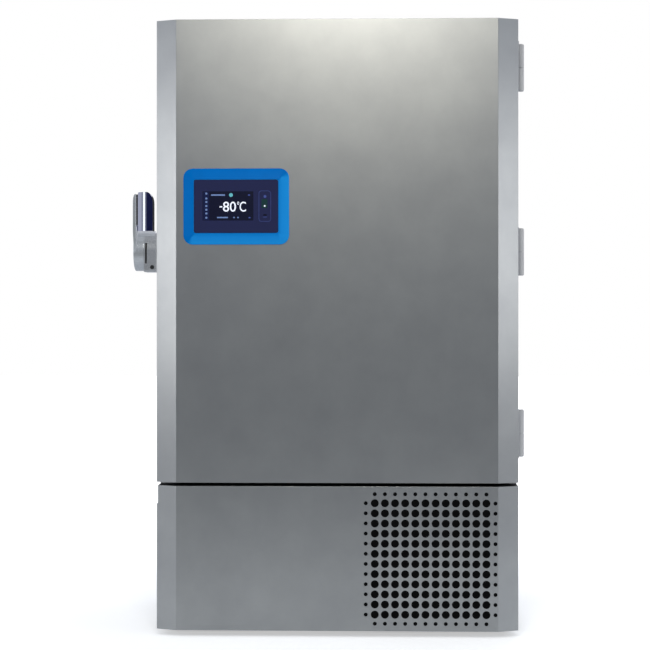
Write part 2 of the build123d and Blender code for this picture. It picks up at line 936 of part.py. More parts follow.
def display_glass():
    front = door_front - bezel_t + glass_sunk
    fit = 2 * seat_gap
    outline = RectangleRounded(window_w - fit, window_h - fit, window_r - seat_gap)
    return front_prism(Pos(display_x, display_z) * outline, (front, front + glass_t))


# Lower fascia


def polygon_hole(radius, sides):
    """A hole outline with flat sides and the area of the round hole."""
    turn = 2 * math.pi / sides
    return RegularPolygon(radius * math.sqrt(turn / math.sin(turn)), sides)


def hole_field():
    """A square grid of large holes with one row of small holes along each side."""
    large = GridLocations(hole_pitch, hole_pitch, hole_count, hole_count)
    field = Sketch() + [place * polygon_hole(hole_r, hole_sides) for place in large]
    out = (hole_count - 1) * hole_pitch + 2 * small_hole_out
    rows = [GridLocations(hole_pitch, out, hole_count, 2), GridLocations(out, hole_pitch, 2, hole_count)]
    for row in rows:
        field += [place * polygon_hole(small_hole_r, small_hole_sides) for place in row]
    return Pos(holes_x, fascia_middle) * field


def lower_fascia():
    """Folded pan with the perforated field, the finger notch and the holes of its hinge pins."""
    z = (fascia_bottom, fascia_top)
    pan = folded_front(fascia_back, z)
    pan -= front_prism(hole_field(), (door_front, door_front + sheet))
    pan -= block((-half_w, -half_w + notch_w), (door_front, fascia_back), (fascia_top - notch_h, fascia_top))
    pivot = (fascia_pivot_x, fascia_pivot_y, fascia_bottom)
    return pan - pin_bore(fascia_pin_r + fascia_pin_clear, pivot, (0, 0, 1), fascia_top - fascia_bottom)


def fascia_hinge_brackets():
    """Upper bracket on the side flange and lower bracket on the deck, each with its pin."""
    x = (fascia_pivot_x - bracket_reach, half_w - sheet)
    front = fascia_pivot_y - bracket_reach
    low = fascia_top + bracket_gap
    upper = block(x, (front, 0), (low, low + bracket_t))
    pivot = (fascia_pivot_x, fascia_pivot_y)
    upper += pin(fascia_pin_r, (*pivot, low), (0, 0, -1), bracket_pin_len)
    top = fascia_bottom - bracket_gap
    lower = block(x, (front, strap_t), (top - bracket_t, top))
    lower += block(x, (0, strap_t), (top, deck_top))
    lower += pin(fascia_pin_r, (*pivot, top), (0, 0, 1), bracket_pin_len)
    return [upper, lower]


# Machine room


def compressor(x):
    """Welded shell with a domed top, on its foot plate."""
    shell = rod(shell_r, (x, compressor_y, shell_bottom), (0, 0, 1), shell_h)
    rims = shell.edges().filter_by(GeomType.CIRCLE).sort_by(Axis.Z)
    shell = fillet(rims[-1], dome_r)
    rims = shell.edges().filter_by(GeomType.CIRCLE).sort_by(Axis.Z)
    shell = chamfer(rims[0], shell_chamfer)
    plate = block(
        (x - foot_plate_w / 2, x + foot_plate_w / 2),
        (compressor_y - foot_plate_d / 2, compressor_y + foot_plate_d / 2),
        (shell_bottom - foot_plate_t, shell_bottom),
    )
    return shell + plate


def compressor_grommets():
    grommets = []
    outline = RegularPolygon(grommet_r, grommet_sides)
    for x in (high_stage_x, low_stage_x):
        for place in GridLocations(2 * grommet_x, 2 * grommet_y, 2, 2):
            grommet = plan_prism(outline, (deck_top, deck_top + grommet_h))
            grommets.append(Pos(x, compressor_y, 0) * place * grommet)
    return grommets


def condenser_limits():
    return condenser_x - condenser_w / 2, condenser_x + condenser_w / 2


def condenser():
    """Finned core between two end plates that stand on the deck."""
    left, right = condenser_limits()
    y = (condenser_front, condenser_front + condenser_d)
    core = block((left, right), y, (deck_top + condenser_bottom_gap, condenser_top))
    ends = block((left - end_plate_t, left), y, (deck_top, condenser_top))
    ends += block((right, right + end_plate_t), y, (deck_top, condenser_top))
    return core + ends


def air_filter():
    """Framed filter mat that stands on the deck against the condenser."""
    left, right = condenser_limits()
    y = (condenser_front - filter_d, condenser_front)
    filter_block = block((left, right), y, (deck_top, condenser_top))
    mat = (left + filter_frame, right - filter_frame)
    height = (deck_top + filter_frame, condenser_top - filter_frame)
    return filter_block - block(mat, (y[0], y[0] + filter_recess), height)


def fan_shroud():
    """Plate on the back of the condenser with a round throat, and two straps for the motor."""
    left, right = condenser_limits()
    start = condenser_front + condenser_d
    throat_r = fan_r + fan_clear
    height = (deck_top + condenser_bottom_gap, condenser_top)
    shroud = block((left, right), (start, start + shroud_t), height)
    shroud += rod(throat_r + shroud_wall, (condenser_x, start, fan_z), (0, 1, 0), shroud_t + shroud_depth)
    shroud -= rod(throat_r, (condenser_x, start, fan_z), (0, 1, 0), shroud_t + shroud_depth)
    across = 2 * (throat_r + shroud_wall)
    y = (shroud_back, motor_front)
    shroud += block(around(condenser_x, across), y, around(fan_z, strap_w))
    shroud += block(around(condenser_x, strap_w), y, around(fan_z, across))
    bore = (condenser_x, shroud_back, fan_z)
    return shroud - pin_bore(fan_shaft_r + pin_fit, bore, (0, 1, 0), motor_strap_t)


def fan_motor():
    motor = rod(motor_r, (condenser_x, motor_front, fan_z), (0, 1, 0), motor_len)
    rims = motor.edges().filter_by(GeomType.CIRCLE).sort_by(Axis.Y)
    motor = chamfer(rims[-1], motor_r / 6)
    return motor - pin_bore(fan_shaft_r, (condenser_x, motor_front, fan_z), (0, 1, 0), fan_shaft_in + 1)


def fan_impeller():
    """Hub with pitched blades, on the shaft that runs back into the motor."""
    hub = rod(hub_fan_r, (0, fan_front, 0), (0, 1, 0), fan_depth)
    shaft = pin(fan_shaft_r, (0, fan_front, 0), (0, 1, 0), motor_front + fan_shaft_in - fan_front)
    fan = hub + shaft
    length = fan_r - blade_root
    for turn in range(blade_count):
        blade = Box(blade_w, blade_t, length, align=(Align.CENTER, Align.CENTER, Align.MIN))
        blade = Pos(0, fan_front + fan_depth / 2, blade_root) * Rot(0, 0, blade_pitch) * blade
        fan += Rot(0, turn * 360 / blade_count, 0) * blade
    return Pos(condenser_x, 0, fan_z) * fan


def interstage_heat_exchanger():
    """Heat exchanger in its foam jacket, with rounded upright edges."""
    jacket = block(
        (exchanger_x - exchanger_w / 2, exchanger_x + exchanger_w / 2),
        (exchanger_y - exchanger_d / 2, exchanger_y + exchanger_d / 2),
        (deck_top, deck_top + exchanger_h),
    )
    return fillet(jacket.edges().filter_by(Axis.Z), exchanger_round)


def tube(points):
    path = FilletPolyline(*points, radius=tube_bend)
    return sweep(Plane(origin=path @ 0, z_dir=path % 0) * RegularPolygon(tube_r, pin_sides), path=path)


def refrigerant_lines(shells):
    """Discharge line to the condenser, line to the heat exchanger, and suction line up to the cold box."""
    condenser_side = condenser_limits()[1] + end_plate_t
    shell_top = shell_bottom + shell_h
    discharge = tube(
        [
            (high_stage_x + shell_r / 2, compressor_y, discharge_z),
            (discharge_x, compressor_y, discharge_z),
            (discharge_x, condenser_front + condenser_d / 2, discharge_z),
            (condenser_side, condenser_front + condenser_d / 2, discharge_z),
        ]
    )
    interstage = tube(
        [
            (low_stage_x - shell_r / 2, compressor_y, interstage_z),
            (exchanger_x, compressor_y, interstage_z),
            (exchanger_x, exchanger_y + exchanger_d / 2, interstage_z),
        ]
    )
    suction = pin(tube_r, (low_stage_x, compressor_y, shell_top), (0, 0, 1), pan_top - pan_t - shell_top)
    for shell in shells:
        discharge -= shell
        interstage -= shell
    return [discharge, interstage, suction]


def control_box():
    """Electrical box with a lid that stands a little proud on its front."""
    x = (control_x - control_w / 2, control_x + control_w / 2)
    y = (control_y - control_d / 2, control_y + control_d / 2)
    box = block(x, y, (deck_top, deck_top + control_h))
    lid = block(
        (x[0] - control_lid_out, x[1] + control_lid_out),
        (y[0] - control_lid, y[0]),
        (deck_top + control_lid_out, deck_top + control_h + control_lid_out),
    )
    return box + lid


def backup_battery():
    """Sealed block battery with its two terminals."""
    top = deck_top + battery_h
    case = block(around(battery_x, battery_w), around(battery_y, battery_d), (deck_top, top))
    case = chamfer(case.faces().sort_by(Axis.Z)[-1].edges(), terminal_h / 2)
    for side in (-1, 1):
        x = battery_x + side * (battery_w / 2 - 2 * terminal_w)
        case += block(around(x, terminal_w), around(battery_y, terminal_t), (top, top + terminal_h))
    return case


def rocker_axis():
    return entry_x + rocker_x, body_d + entry_flange - rocker_sunk, entry_z_mid


def power_entry():
    """Inlet socket with three contacts beside the rocker's pocket, behind one flange."""
    face = body_d + entry_flange
    middle = Pos(entry_x, entry_z_mid)
    flange = middle * Rectangle(entry_w + 2 * entry_rim, entry_h + 2 * entry_rim)
    entry = front_prism(flange, (body_d, face))
    body = middle * Rectangle(entry_w - 2 * seat_gap, entry_h - 2 * seat_gap)
    entry += front_prism(body, (face - entry_depth, body_d))
    socket = middle * Pos(inlet_x, 0) * Rectangle(inlet_w, inlet_h)
    entry -= front_prism(socket, (face - inlet_depth, face))
    for x, z in ((-inlet_w / 4, -inlet_h / 6), (0, inlet_h / 5), (inlet_w / 4, -inlet_h / 6)):
        contact = middle * Pos(inlet_x + x, z) * Rectangle(contact_w, contact_h)
        entry += front_prism(contact, (face - inlet_depth, face - inlet_depth + contact_len))
    pocket = middle * Pos(rocker_x, 0) * Rectangle(rocker_w, rocker_h)
    entry -= front_prism(pocket, (face - rocker_pocket, face))
    x, y, z = rocker_axis()
    return entry - pin_bore(rocker_pin_r, (x - rocker_pin_half, y, z), (1, 0, 0), 2 * rocker_pin_half)


def power_rocker():
    """Switch key with two slanted halves on its pivot pin, tipped to its on side."""
    half = rocker_h / 2 - rocker_clear
    proud = rocker_sunk + rocker_dip
    outline = polygon(
        (proud, half),
        (rocker_sunk - rocker_dip, 0),
        (proud, -half),
        (-rocker_sunk, -half * 0.7),
        (-rocker_sunk, half * 0.7),
    )
    width = rocker_w / 2 - seat_gap
    key = side_prism(outline, (-width, width))
    pin_end = rocker_pin_half - rocker_pin_gap
    key += pin(rocker_pin_r, (-pin_end, 0, 0), (1, 0, 0), 2 * pin_end)
    return Pos(*rocker_axis()) * Rot(rocker_tilt, 0, 0) * key


# Casters and levelling feet


def caster_head(x, y, gap):
    """Round bearing of a swivelling caster, or the square seat of a fixed one, which has no gap."""
    if gap:
        return rod(swivel_r, (x, y, fork_top), (0, 0, 1), deck_bottom - gap - fork_top)
    across = (x - swivel_r, x + swivel_r)
    return block(across, (y - fork_w / 2, y + fork_w / 2), (fork_top, deck_bottom))


def caster_fork(x, y, lag, gap):
    """Fork with its two cheeks, plate, head and axle."""
    inner = wheel_w / 2 + fork_gap
    half = fork_w / 2
    axle = y + lag
    cheek = polygon(
        (y - half, fork_top),
        (y + half, fork_top),
        (axle + 2 * axle_r, wheel_r),
        (axle + axle_r, wheel_r - 2 * axle_r),
        (axle - axle_r, wheel_r - 2 * axle_r),
        (axle - 2 * axle_r, wheel_r),
    )
    fork = side_prism(cheek, (x - inner - fork_t, x - inner))
    fork += side_prism(cheek, (x + inner, x + inner + fork_t))
    fork += block((x - inner, x + inner), (y - half, y + half), (fork_top - fork_plate_t, fork_top))
    fork += caster_head(x, y, gap)
    return fork + pin(axle_r, (x - inner - fork_t, axle, wheel_r), (1, 0, 0), 2 * (inner + fork_t))


def wheel(x, y):
    disc = rod(wheel_r, (x - wheel_w / 2, y, wheel_r), (1, 0, 0), wheel_w)
    disc = chamfer(disc.edges().filter_by(GeomType.CIRCLE), wheel_chamfer)
    return disc - pin_bore(axle_r, (x - wheel_w / 2, y, wheel_r), (1, 0, 0), wheel_w)


def foot_x(side):
    return side * (half_w - foot_x_in)


def levelling_foot(side):
    place = (foot_x(side), foot_y, 0)
    pad = rod(foot_r, place, (0, 0, 1), foot_h)
    return pad + pin(foot_stem_r, place, (0, 0, 1), foot_stem_top)


# All pieces, by node

coil = evaporator_coil()
high_stage = compressor(high_stage_x)
low_stage = compressor(low_stage_x)
panel = door_inner_panel()
right_side = side_panel()

nodes = {
    "left_side_panel": mirrored(right_side),
    "right_side_panel": right_side,
    "top_panel": top_panel(),
    "rear_panel": rear_panel(),
    "machine_rear_grille": machine_rear_grille(),
    "base_frame": base_frame(),
    "machine_room_frame": machine_room_frame(),
    "foam_insulation": foam_insulation(coil),
    "inner_liner": inner_liner(),
    "breaker_collar": breaker_collar(),
    "evaporator_coil": coil,
    "shelf_supports": shelf_supports(),
    "storage_shelves": storage_shelves(),
    "inner_door_hinges": inner_door_hinges(),
    "inner_door_catches": inner_door_catches(),
    "cabinet_hinge_leaves": hinge_leaves(1),
    "latch_strike": latch_strike(),
    "high_stage_compressor": high_stage,
    "low_stage_compressor": low_stage,
    "compressor_grommets": compressor_grommets(),
    "condenser": condenser(),
    "air_filter": air_filter(),
    "fan_shroud": fan_shroud(),
    "fan_motor": fan_motor(),
    "fan_impeller": fan_impeller(),
    "interstage_heat_exchanger": interstage_heat_exchanger(),
    "refrigerant_lines": refrigerant_lines([high_stage, low_stage]),
    "control_box": control_box(),
    "backup_battery": backup_battery(),
    "power_entry": power_entry(),
    "power_rocker": power_rocker(),
    "rear_caster_forks": [caster_fork(side * caster_x, rear_caster_y, 0, 0) for side in (-1, 1)],
    "fascia_hinge_brackets": fascia_hinge_brackets(),
    "lower_fascia": lower_fascia(),
    "door_skin": door_skin(),
    "door_foam": door_foam(panel),
    "door_inner_panel": panel,
    "door_gasket": door_gasket(),
    "door_hinge_leaves": hinge_leaves(-1),
    "hinge_pins": hinge_pins(),
    "handle_housing": handle_housing(),
    "display_bezel": display_bezel(),
    "display_glass": display_glass(),
    "display_module": display_module(),
    "handle_lever": handle_lever(),
    "handle_grip": handle_grip(),
    "latch_hook": latch_hook(),
    "lock_cylinder": lock_cylinder(),
}
for level in range(inner_door_count):
    nodes[f"inner_door_{level + 1}"] = inner_door(level)
for name, side in (("left", -1), ("right", 1)):
    nodes[f"{name}_front_caster_fork"] = caster_fork(side * caster_x, front_caster_y, trail, swivel_gap)
    nodes[f"{name}_front_wheel"] = wheel(side * caster_x, front_caster_y + trail)
    nodes[f"{name}_rear_wheel"] = wheel(side * caster_x, rear_caster_y)
    nodes[f"{name}_levelling_foot"] = levelling_foot(side)

solids = {}
for name, piece in nodes.items():
    pieces = piece if isinstance(piece, list) else [piece]
    solids[name] = [solid for one in pieces for solid in one.solids()]

everything = Compound([solid for group in solids.values() for solid in group]).bounding_box()
to_origin = (-everything.center().X, -everything.center().Y, -everything.min.Z)

os.makedirs("parts", exist_ok=True)
for name, group in solids.items():
    moved = [Pos(*to_origin) * solid for solid in group]
    export_step(moved[0] if len(moved) == 1 else Compound(moved), f"parts/{name}.step")
    print(name, len(moved))
print("size", everything.size, "moved by", to_origin)
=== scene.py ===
# %% [markdown]
# # An ultra low temperature freezer, dressed for the camera
# The CAD model holds every piece of the freezer at its real size. This lesson loads it as a fixed
# frame and gives it what a photograph shows: soft edges, brushed steel, chrome, moulded plastic
# and a lit display. New pieces are placed by the frame's own boxes.

import json
import math

import bpy
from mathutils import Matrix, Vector
from mathutils.bvhtree import BVHTree


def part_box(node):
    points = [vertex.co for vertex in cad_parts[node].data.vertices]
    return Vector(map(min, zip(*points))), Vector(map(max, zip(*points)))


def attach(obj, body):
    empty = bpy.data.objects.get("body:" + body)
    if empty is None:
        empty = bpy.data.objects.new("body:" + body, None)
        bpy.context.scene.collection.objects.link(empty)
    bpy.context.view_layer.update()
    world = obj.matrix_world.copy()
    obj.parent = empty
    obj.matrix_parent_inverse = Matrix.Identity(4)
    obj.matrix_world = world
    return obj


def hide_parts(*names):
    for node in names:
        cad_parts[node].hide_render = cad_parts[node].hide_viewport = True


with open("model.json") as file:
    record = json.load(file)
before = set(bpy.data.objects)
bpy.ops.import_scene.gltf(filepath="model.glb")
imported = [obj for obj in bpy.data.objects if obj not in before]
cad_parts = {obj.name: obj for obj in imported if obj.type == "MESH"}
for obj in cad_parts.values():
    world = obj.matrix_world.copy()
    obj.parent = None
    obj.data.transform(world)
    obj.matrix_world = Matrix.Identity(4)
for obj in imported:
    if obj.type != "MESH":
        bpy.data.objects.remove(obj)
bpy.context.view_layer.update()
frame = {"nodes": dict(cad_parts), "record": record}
nodes = frame["nodes"]

# %% [markdown]
# A freezer is easiest to measure from the middle of its front rim, the edge that the door closes
# on. So one function turns millimetres from there, with z from the floor, into the frame's metres.

# %% Places in millimetres
MM = 0.001
left_panel, right_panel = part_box("left_side_panel"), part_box("right_side_panel")
middle_x = (left_panel[0].x + right_panel[1].x) / 2
rim_y = left_panel[0].y


def spot(x, y, z):
    """A place in metres from millimetres off the front rim's middle, z from the floor."""
    return Vector((middle_x + x * MM, rim_y + y * MM, z * MM))


def off_rim(place):
    """The same millimetres from a place in metres."""
    return (place - Vector((middle_x, rim_y, 0))) / MM


def extent(node):
    """The corners of a CAD node's box in these millimetres."""
    return [off_rim(corner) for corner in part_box(node)]


def around(middle, width):
    """The two limits of a width about its middle."""
    return middle - width / 2, middle + width / 2


body_half = extent("right_side_panel")[1].x
print("half width of the cabinet:", round(body_half, 1), "mm")

# %% [markdown]
# The photograph was taken from about six metres away with a long lens, a little to the right of
# the middle and at half the freezer's height. The camera stays level, so that upright edges stay
# upright, and turns left by about two degrees. The lens comes from the freezer's height in it.

# %% The camera
PICTURE, FOCAL = 650, 1874.6  # width and focal length in pixels
SENSOR = 36.0  # the same width in millimetres
camera_data = bpy.data.cameras.new("camera")
camera = bpy.data.objects.new("camera", camera_data)
bpy.context.scene.collection.objects.link(camera)
camera_data.sensor_width = SENSOR
camera_data.lens = FOCAL / PICTURE * SENSOR
camera.location = spot(162.3, -6128, 1000)
camera.rotation_euler = (math.radians(90), 0, math.radians(1.908))
camera_data.clip_end = 100
bpy.context.scene.camera = camera
print("lens:", round(camera_data.lens, 1), "mm")

# %% [markdown]
# A studio floor is a large pale sheet on a darker ground that starts two metres in front. Seen by
# the camera it glows a little, and fully two metres away from the freezer, which turns its lit
# parts white and leaves the soft shadow near the freezer. It is stage, not part of the object.

# %% Colours and shader nodes


def linear(colour):
    """Linear red, green and blue of an sRGB hex colour, with a full alpha."""
    parts = [int(colour[i:i + 2], 16) / 255 for i in (1, 3, 5)]
    return (*(v / 12.92 if v <= 0.04045 else ((v + 0.055) / 1.055) ** 2.4 for v in parts), 1)


def put(tree, kind, settings=None, links=None):
    """Adds one shader node, sets its inputs or properties and joins its inputs to outputs."""
    made = tree.nodes.new(kind)
    for name, value in (settings or {}).items():
        if name in made.inputs:
            made.inputs[name].default_value = value
        else:
            setattr(made, name, value)
    for name, source in (links or {}).items():
        tree.links.new(source, made.inputs[name])
    return made


def ramp(tree, source, *stops):
    """Turns an output into a colour, by pairs of place and hex colour in rising order."""
    made = put(tree, "ShaderNodeValToRGB", links={"Fac": source})
    colours = made.color_ramp.elements
    for stop, (place, _) in zip(colours, stops):
        stop.position = place
    for place, _ in stops[2:]:
        colours.new(place)
    for stop, (_, colour) in zip(colours, stops):
        stop.color = linear(colour)
    return made.outputs["Color"]


def spread(tree, source, span, to=(0.0, 1.0), kind="LINEAR"):
    """Maps an output from one span of values to another."""
    settings = dict(zip(("From Min", "From Max", "To Min", "To Max"), (*span, *to)))
    made = put(tree, "ShaderNodeMapRange", {"interpolation_type": kind, **settings}, {"Value": source})
    return made.outputs["Result"]


def tune(skin, settings):
    """Sets sockets of a material's own shader and gives the shader back."""
    shader = skin.node_tree.nodes["Principled BSDF"]
    for socket, value in settings.items():
        shader.inputs[socket].default_value = value
    return shader


def bare_tree(block):
    """The emptied node tree of a material or world."""
    block.use_nodes = True
    block.node_tree.nodes.clear()
    return block.node_tree


# %% The floor
SHEET_SPAN = (-3.4, -1.7)  # where the ground turns into the sheet, along the depth in metres
GLOW_SPAN = (0.9, 2.2)  # how far from the freezer's middle the glow grows to its full, in metres


def clear():
    """Leaves edit mode and deselects everything, because an operator acts on all that is selected."""
    if bpy.context.object and bpy.context.object.mode != "OBJECT":
        bpy.ops.object.mode_set(mode="OBJECT")
    bpy.ops.object.select_all(action="DESELECT")


clear()
bpy.ops.mesh.primitive_plane_add(size=60, location=(0, 0, 0))
floor = bpy.context.object
floor.name = "studio_floor"
paper = bpy.data.materials.new("matt_white_floor")
tree = bare_tree(paper)
where = put(tree, "ShaderNodeTexCoord").outputs["Object"]
depth = put(tree, "ShaderNodeSeparateXYZ", links={0: where})
away = put(tree, "ShaderNodeVectorMath", {"operation": "LENGTH"}, {0: where})
sheet = ramp(tree, spread(tree, depth.outputs["Y"], SHEET_SPAN), (0, "#666A70"), (1, "#EEF3FB"))
matt = put(tree, "ShaderNodeBsdfDiffuse", links={"Color": sheet})
glow = put(tree, "ShaderNodeEmission", {"Color": (1, 1, 1, 1)},
           {"Strength": spread(tree, away.outputs["Value"], GLOW_SPAN, (0.5, 1.0))})
both = put(tree, "ShaderNodeAddShader", links={0: matt.outputs[0], 1: glow.outputs[0]})
seen = put(tree, "ShaderNodeMixShader", links={0: put(tree, "ShaderNodeLightPath").outputs["Is Camera Ray"],
                                               1: matt.outputs[0], 2: both.outputs[0]})
put(tree, "ShaderNodeOutputMaterial", links={"Surface": seen.outputs[0]})
floor.data.materials.append(paper)

# %% [markdown]
# The world is a plain white studio. The camera sees it at full white, and the light that it sheds
# is weaker, so that painted surfaces render about as their colour is written. Polished ones mirror
# white walls at the sides and behind, a dimmer ceiling, and the dark end of the room behind the
# photographer, which keeps the steel front grey. One lamp high in front brightens the top of the
# door, and one at each side stands where the door's bevels mirror it. A card of dark felt, left of
# the camera, is there for the handle's chrome alone, which mirrors it as a dark blue band.

# %% World and lamps
world = bpy.data.worlds.new("white_room")
bpy.context.scene.world = world
tree = bare_tree(world)
path = put(tree, "ShaderNodeLightPath")
direct = put(tree, "ShaderNodeMath", {"operation": "MAXIMUM"},
             {0: path.outputs["Is Camera Ray"], 1: path.outputs["Is Transmission Ray"]})
toward = put(tree, "ShaderNodeSeparateXYZ", links={0: put(tree, "ShaderNodeTexCoord").outputs["Generated"]})
room = ramp(tree, spread(tree, toward.outputs["Y"], (-1.0, 1.0)),
            (0.03, "#858A91"), (0.12, "#9CA2AC"), (0.24, "#999FA9"), (0.36, "#F4F6FF"))
ceiling = spread(tree, toward.outputs["Z"], (0.35, 0.95), (1.0, 0.55), "SMOOTHSTEP")
soft = put(tree, "ShaderNodeBackground", {"Color": (1, 1, 1, 1), "Strength": 0.45})
mirror = put(tree, "ShaderNodeBackground", links={"Color": room, "Strength": ceiling})
white = put(tree, "ShaderNodeBackground", {"Color": (1, 1, 1, 1), "Strength": 1.0})
shine = put(tree, "ShaderNodeMixShader",
            links={0: path.outputs["Is Glossy Ray"], 1: soft.outputs[0], 2: mirror.outputs[0]})
view = put(tree, "ShaderNodeMixShader",
           links={0: direct.outputs[0], 1: shine.outputs[0], 2: white.outputs[0]})
put(tree, "ShaderNodeOutputWorld", links={"Surface": view.outputs[0]})


def lamp(name, place, aim, size, watts, tone=(1, 1, 1)):
    """A soft lamp at a place, turned to what it lights: its two sizes in metres, watts and colour."""
    light = bpy.data.lights.new(name, "AREA")
    light.shape = "RECTANGLE"
    light.size, light.size_y = size
    light.energy, light.color = watts, tone
    holder = bpy.data.objects.new(name, light)
    holder.location = place
    holder.rotation_euler = (Vector(aim) - Vector(place)).to_track_quat("-Z", "Y").to_euler()
    bpy.context.scene.collection.objects.link(holder)


lamp("high_lamp", (0.05, -3.6, 3.36), (0.1, -0.4, 1.5), (0.6, 1.3), 35, (1.0, 0.96, 0.85))
lamp("left_lamp", (-2.45, -2.1, 1.42), (-0.57, -0.45, 1.42), (0.7, 1.2), 6.8)
lamp("right_lamp", (2.45, -2.1, 1.38), (0.57, -0.45, 1.38), (1.1, 1.1), 5.6)
lamp("back_lamp", (1.5, 4.5, 3.0), (0, 0, 1.0), (3.0, 3.0), 60)
bpy.context.scene.view_settings.view_transform = "Standard"

clear()
bpy.ops.mesh.primitive_plane_add(size=1, location=(-1.2, -2.4, 1.475), rotation=(math.radians(90), 0, 0))
dark_card = bpy.context.object
dark_card.name = "dark_card"
dark_card.scale = (1.0, 0.3, 1)
felt = bpy.data.materials.new("navy_felt")
felt.use_nodes = True
tune(felt, {"Base Color": linear("#3A4174"), "Roughness": 0.9, "Specular IOR Level": 0.0})
dark_card.data.materials.append(felt)
dark_card.visible_camera = dark_card.visible_shadow = dark_card.visible_diffuse = False

# %% [markdown]
# Nearly every surface has three small irregularities: its colour and its gloss drift a little, and
# it isn't perfectly flat. One function builds a material with these from noise on Object
# coordinates, at the real size of the finish. A stretched pattern gives the lines of brushing.

# %% A finish from its real sizes


def finish_of(name, colour, shade, rough, metal=0.0, drift=90.0, grain=1.0, bump=0.02,
              stretch=(1, 1, 1), detail=3.0, more=None):
    """A material: colour to shade over `drift` mm, roughness range, grain size and bump depth in mm."""
    skin = bpy.data.materials.new(name)
    skin.use_nodes = True
    shader = tune(skin, {"Metallic": metal, **(more or {})})
    tree = skin.node_tree
    where = put(tree, "ShaderNodeTexCoord").outputs["Object"]
    broad = put(tree, "ShaderNodeTexNoise", {"Scale": 1 / (drift * MM), "Detail": 4.0, "Roughness": 0.6},
                {"Vector": where})
    turned = put(tree, "ShaderNodeMapping", {"Scale": stretch}, {"Vector": where})
    fine = put(tree, "ShaderNodeTexNoise", {"Scale": 1 / (grain * MM), "Detail": detail},
               {"Vector": turned.outputs["Vector"]}).outputs["Fac"]
    relief = put(tree, "ShaderNodeBump", {"Strength": 1.0, "Distance": bump * MM}, {"Height": fine})
    for socket, source in (("Base Color", ramp(tree, broad.outputs["Fac"], (0.3, colour), (0.7, shade))),
                           ("Roughness", spread(tree, fine, (0.3, 0.7), rough)),
                           ("Normal", relief.outputs["Normal"])):
        tree.links.new(source, shader.inputs[socket])
    return skin


# %% [markdown]
# The cabinet is folded steel with a baked powder coat: satin, with the faint orange peel of the
# melted powder about 1.5 mm across. The frame below has the same coat in dark grey.

# %% Powder coats
powder_coat = finish_of("powder_coated_steel", "#D1D4D7", "#CFD2D5", (0.34, 0.44), grain=1.6, bump=0.035)
dark_coat = finish_of("dark_powder_coat", "#4B4E52", "#47494D", (0.38, 0.5), grain=1.6, bump=0.035)
zinc_coat = finish_of("silver_hinge_enamel", "#D8DADD", "#D0D2D6", (0.38, 0.46), metal=0.1, grain=1.2)
gloss_black = finish_of("black_compressor_enamel", "#101113", "#0A0A0B", (0.16, 0.26), grain=4.0, bump=0.03,
                        more={"Coat Weight": 0.4, "Coat Roughness": 0.08})

# %% [markdown]
# The fronts of the door and the lower panel are brushed stainless steel. A belt drew upright lines
# into it, so the noise is drawn out along the height, about 0.5 mm wide and 60 mm long, coarser
# than real. The liner and shelves are rolled stainless, smoother and without a clear direction.

# %% Steels
brushed_steel = finish_of("brushed_stainless_steel", "#C5C7C7", "#BBBDBE", (0.32, 0.40), 1.0, drift=150,
                          grain=60.0, bump=0.004, stretch=(110, 110, 1))
rolled_steel = finish_of("rolled_stainless_steel", "#DDDEDF", "#D6D7D8", (0.28, 0.38), 0.85, grain=14.0,
                         bump=0.01, stretch=(1, 6, 1))
turned_steel = finish_of("turned_steel_pin", "#B5B6B9", "#A5A6A9", (0.2, 0.3), 1.0, grain=8.0, bump=0.01,
                         stretch=(1, 1, 12))
zinc_plate = finish_of("zinc_plated_steel", "#BEC2C6", "#A9ADB4", (0.26, 0.4), 1.0, 14, 3.0, 0.01)
chrome_plate = finish_of("chrome_plate", "#A4A7B6", "#A0A3B2", (0.04, 0.07), 1.0, grain=40, bump=0.002)
aluminium = finish_of("mill_aluminium", "#C9CBCC", "#BDBFC1", (0.32, 0.45), 1.0, grain=6.0, bump=0.01)
copper = finish_of("drawn_copper_tube", "#C9805C", "#A9623F", (0.2, 0.36), 1.0, 30, 5, 0.01)

# %% [markdown]
# The plastics are injection moulded. ABS comes out satin with a fine spark-eroded grain of about
# a millimetre, or smoother where the mould was polished, as on the display's blue frame and on the
# silver housing of the handle. Nylon parts in the machine room are black and duller. The slopes of
# the blue frame that face right or down get painted light: a lighter blue, mixed in by the way
# they face, for the light that falls on them there.

# %% Plastics and rubbers
white_abs = finish_of("moulded_white_abs", "#E4E6E7", "#DEE0E1", (0.34, 0.46), grain=0.9)
blue_abs = finish_of("polished_blue_abs", "#007EE0", "#0078D8", (0.3, 0.38), grain=9.0, bump=0.01,
                     more={"Specular IOR Level": 0.03})
tree = blue_abs.node_tree
faces = put(tree, "ShaderNodeVectorMath", {"operation": "DOT_PRODUCT"},
            {0: put(tree, "ShaderNodeTexCoord").outputs["Normal"]})
faces.inputs[1].default_value = (1.0, 0.0, -1.0)
# Painted light: slopes facing right or down are mixed towards a lighter blue by their normal.
painted_light_mix = put(tree, "ShaderNodeMix", {"data_type": "RGBA"},
            {"Factor": spread(tree, faces.outputs["Value"], (0.05, 0.35))})
plain, painted_lit_blue, mixed = painted_light_mix.inputs[6], painted_light_mix.inputs[7], painted_light_mix.outputs[2]
base = tree.nodes["Principled BSDF"].inputs["Base Color"]
tree.links.new(base.links[0].from_socket, plain)
painted_lit_blue.default_value = linear("#22A2FF")
tree.links.new(mixed, base)
PAINTED = {"Coat Weight": 0.6, "Coat Roughness": 0.1}
silver_abs = finish_of("silver_painted_abs", "#B6BAC0", "#B0B4BA", (0.22, 0.3), 0.4, grain=1.2, bump=0.01,
                       more=PAINTED)
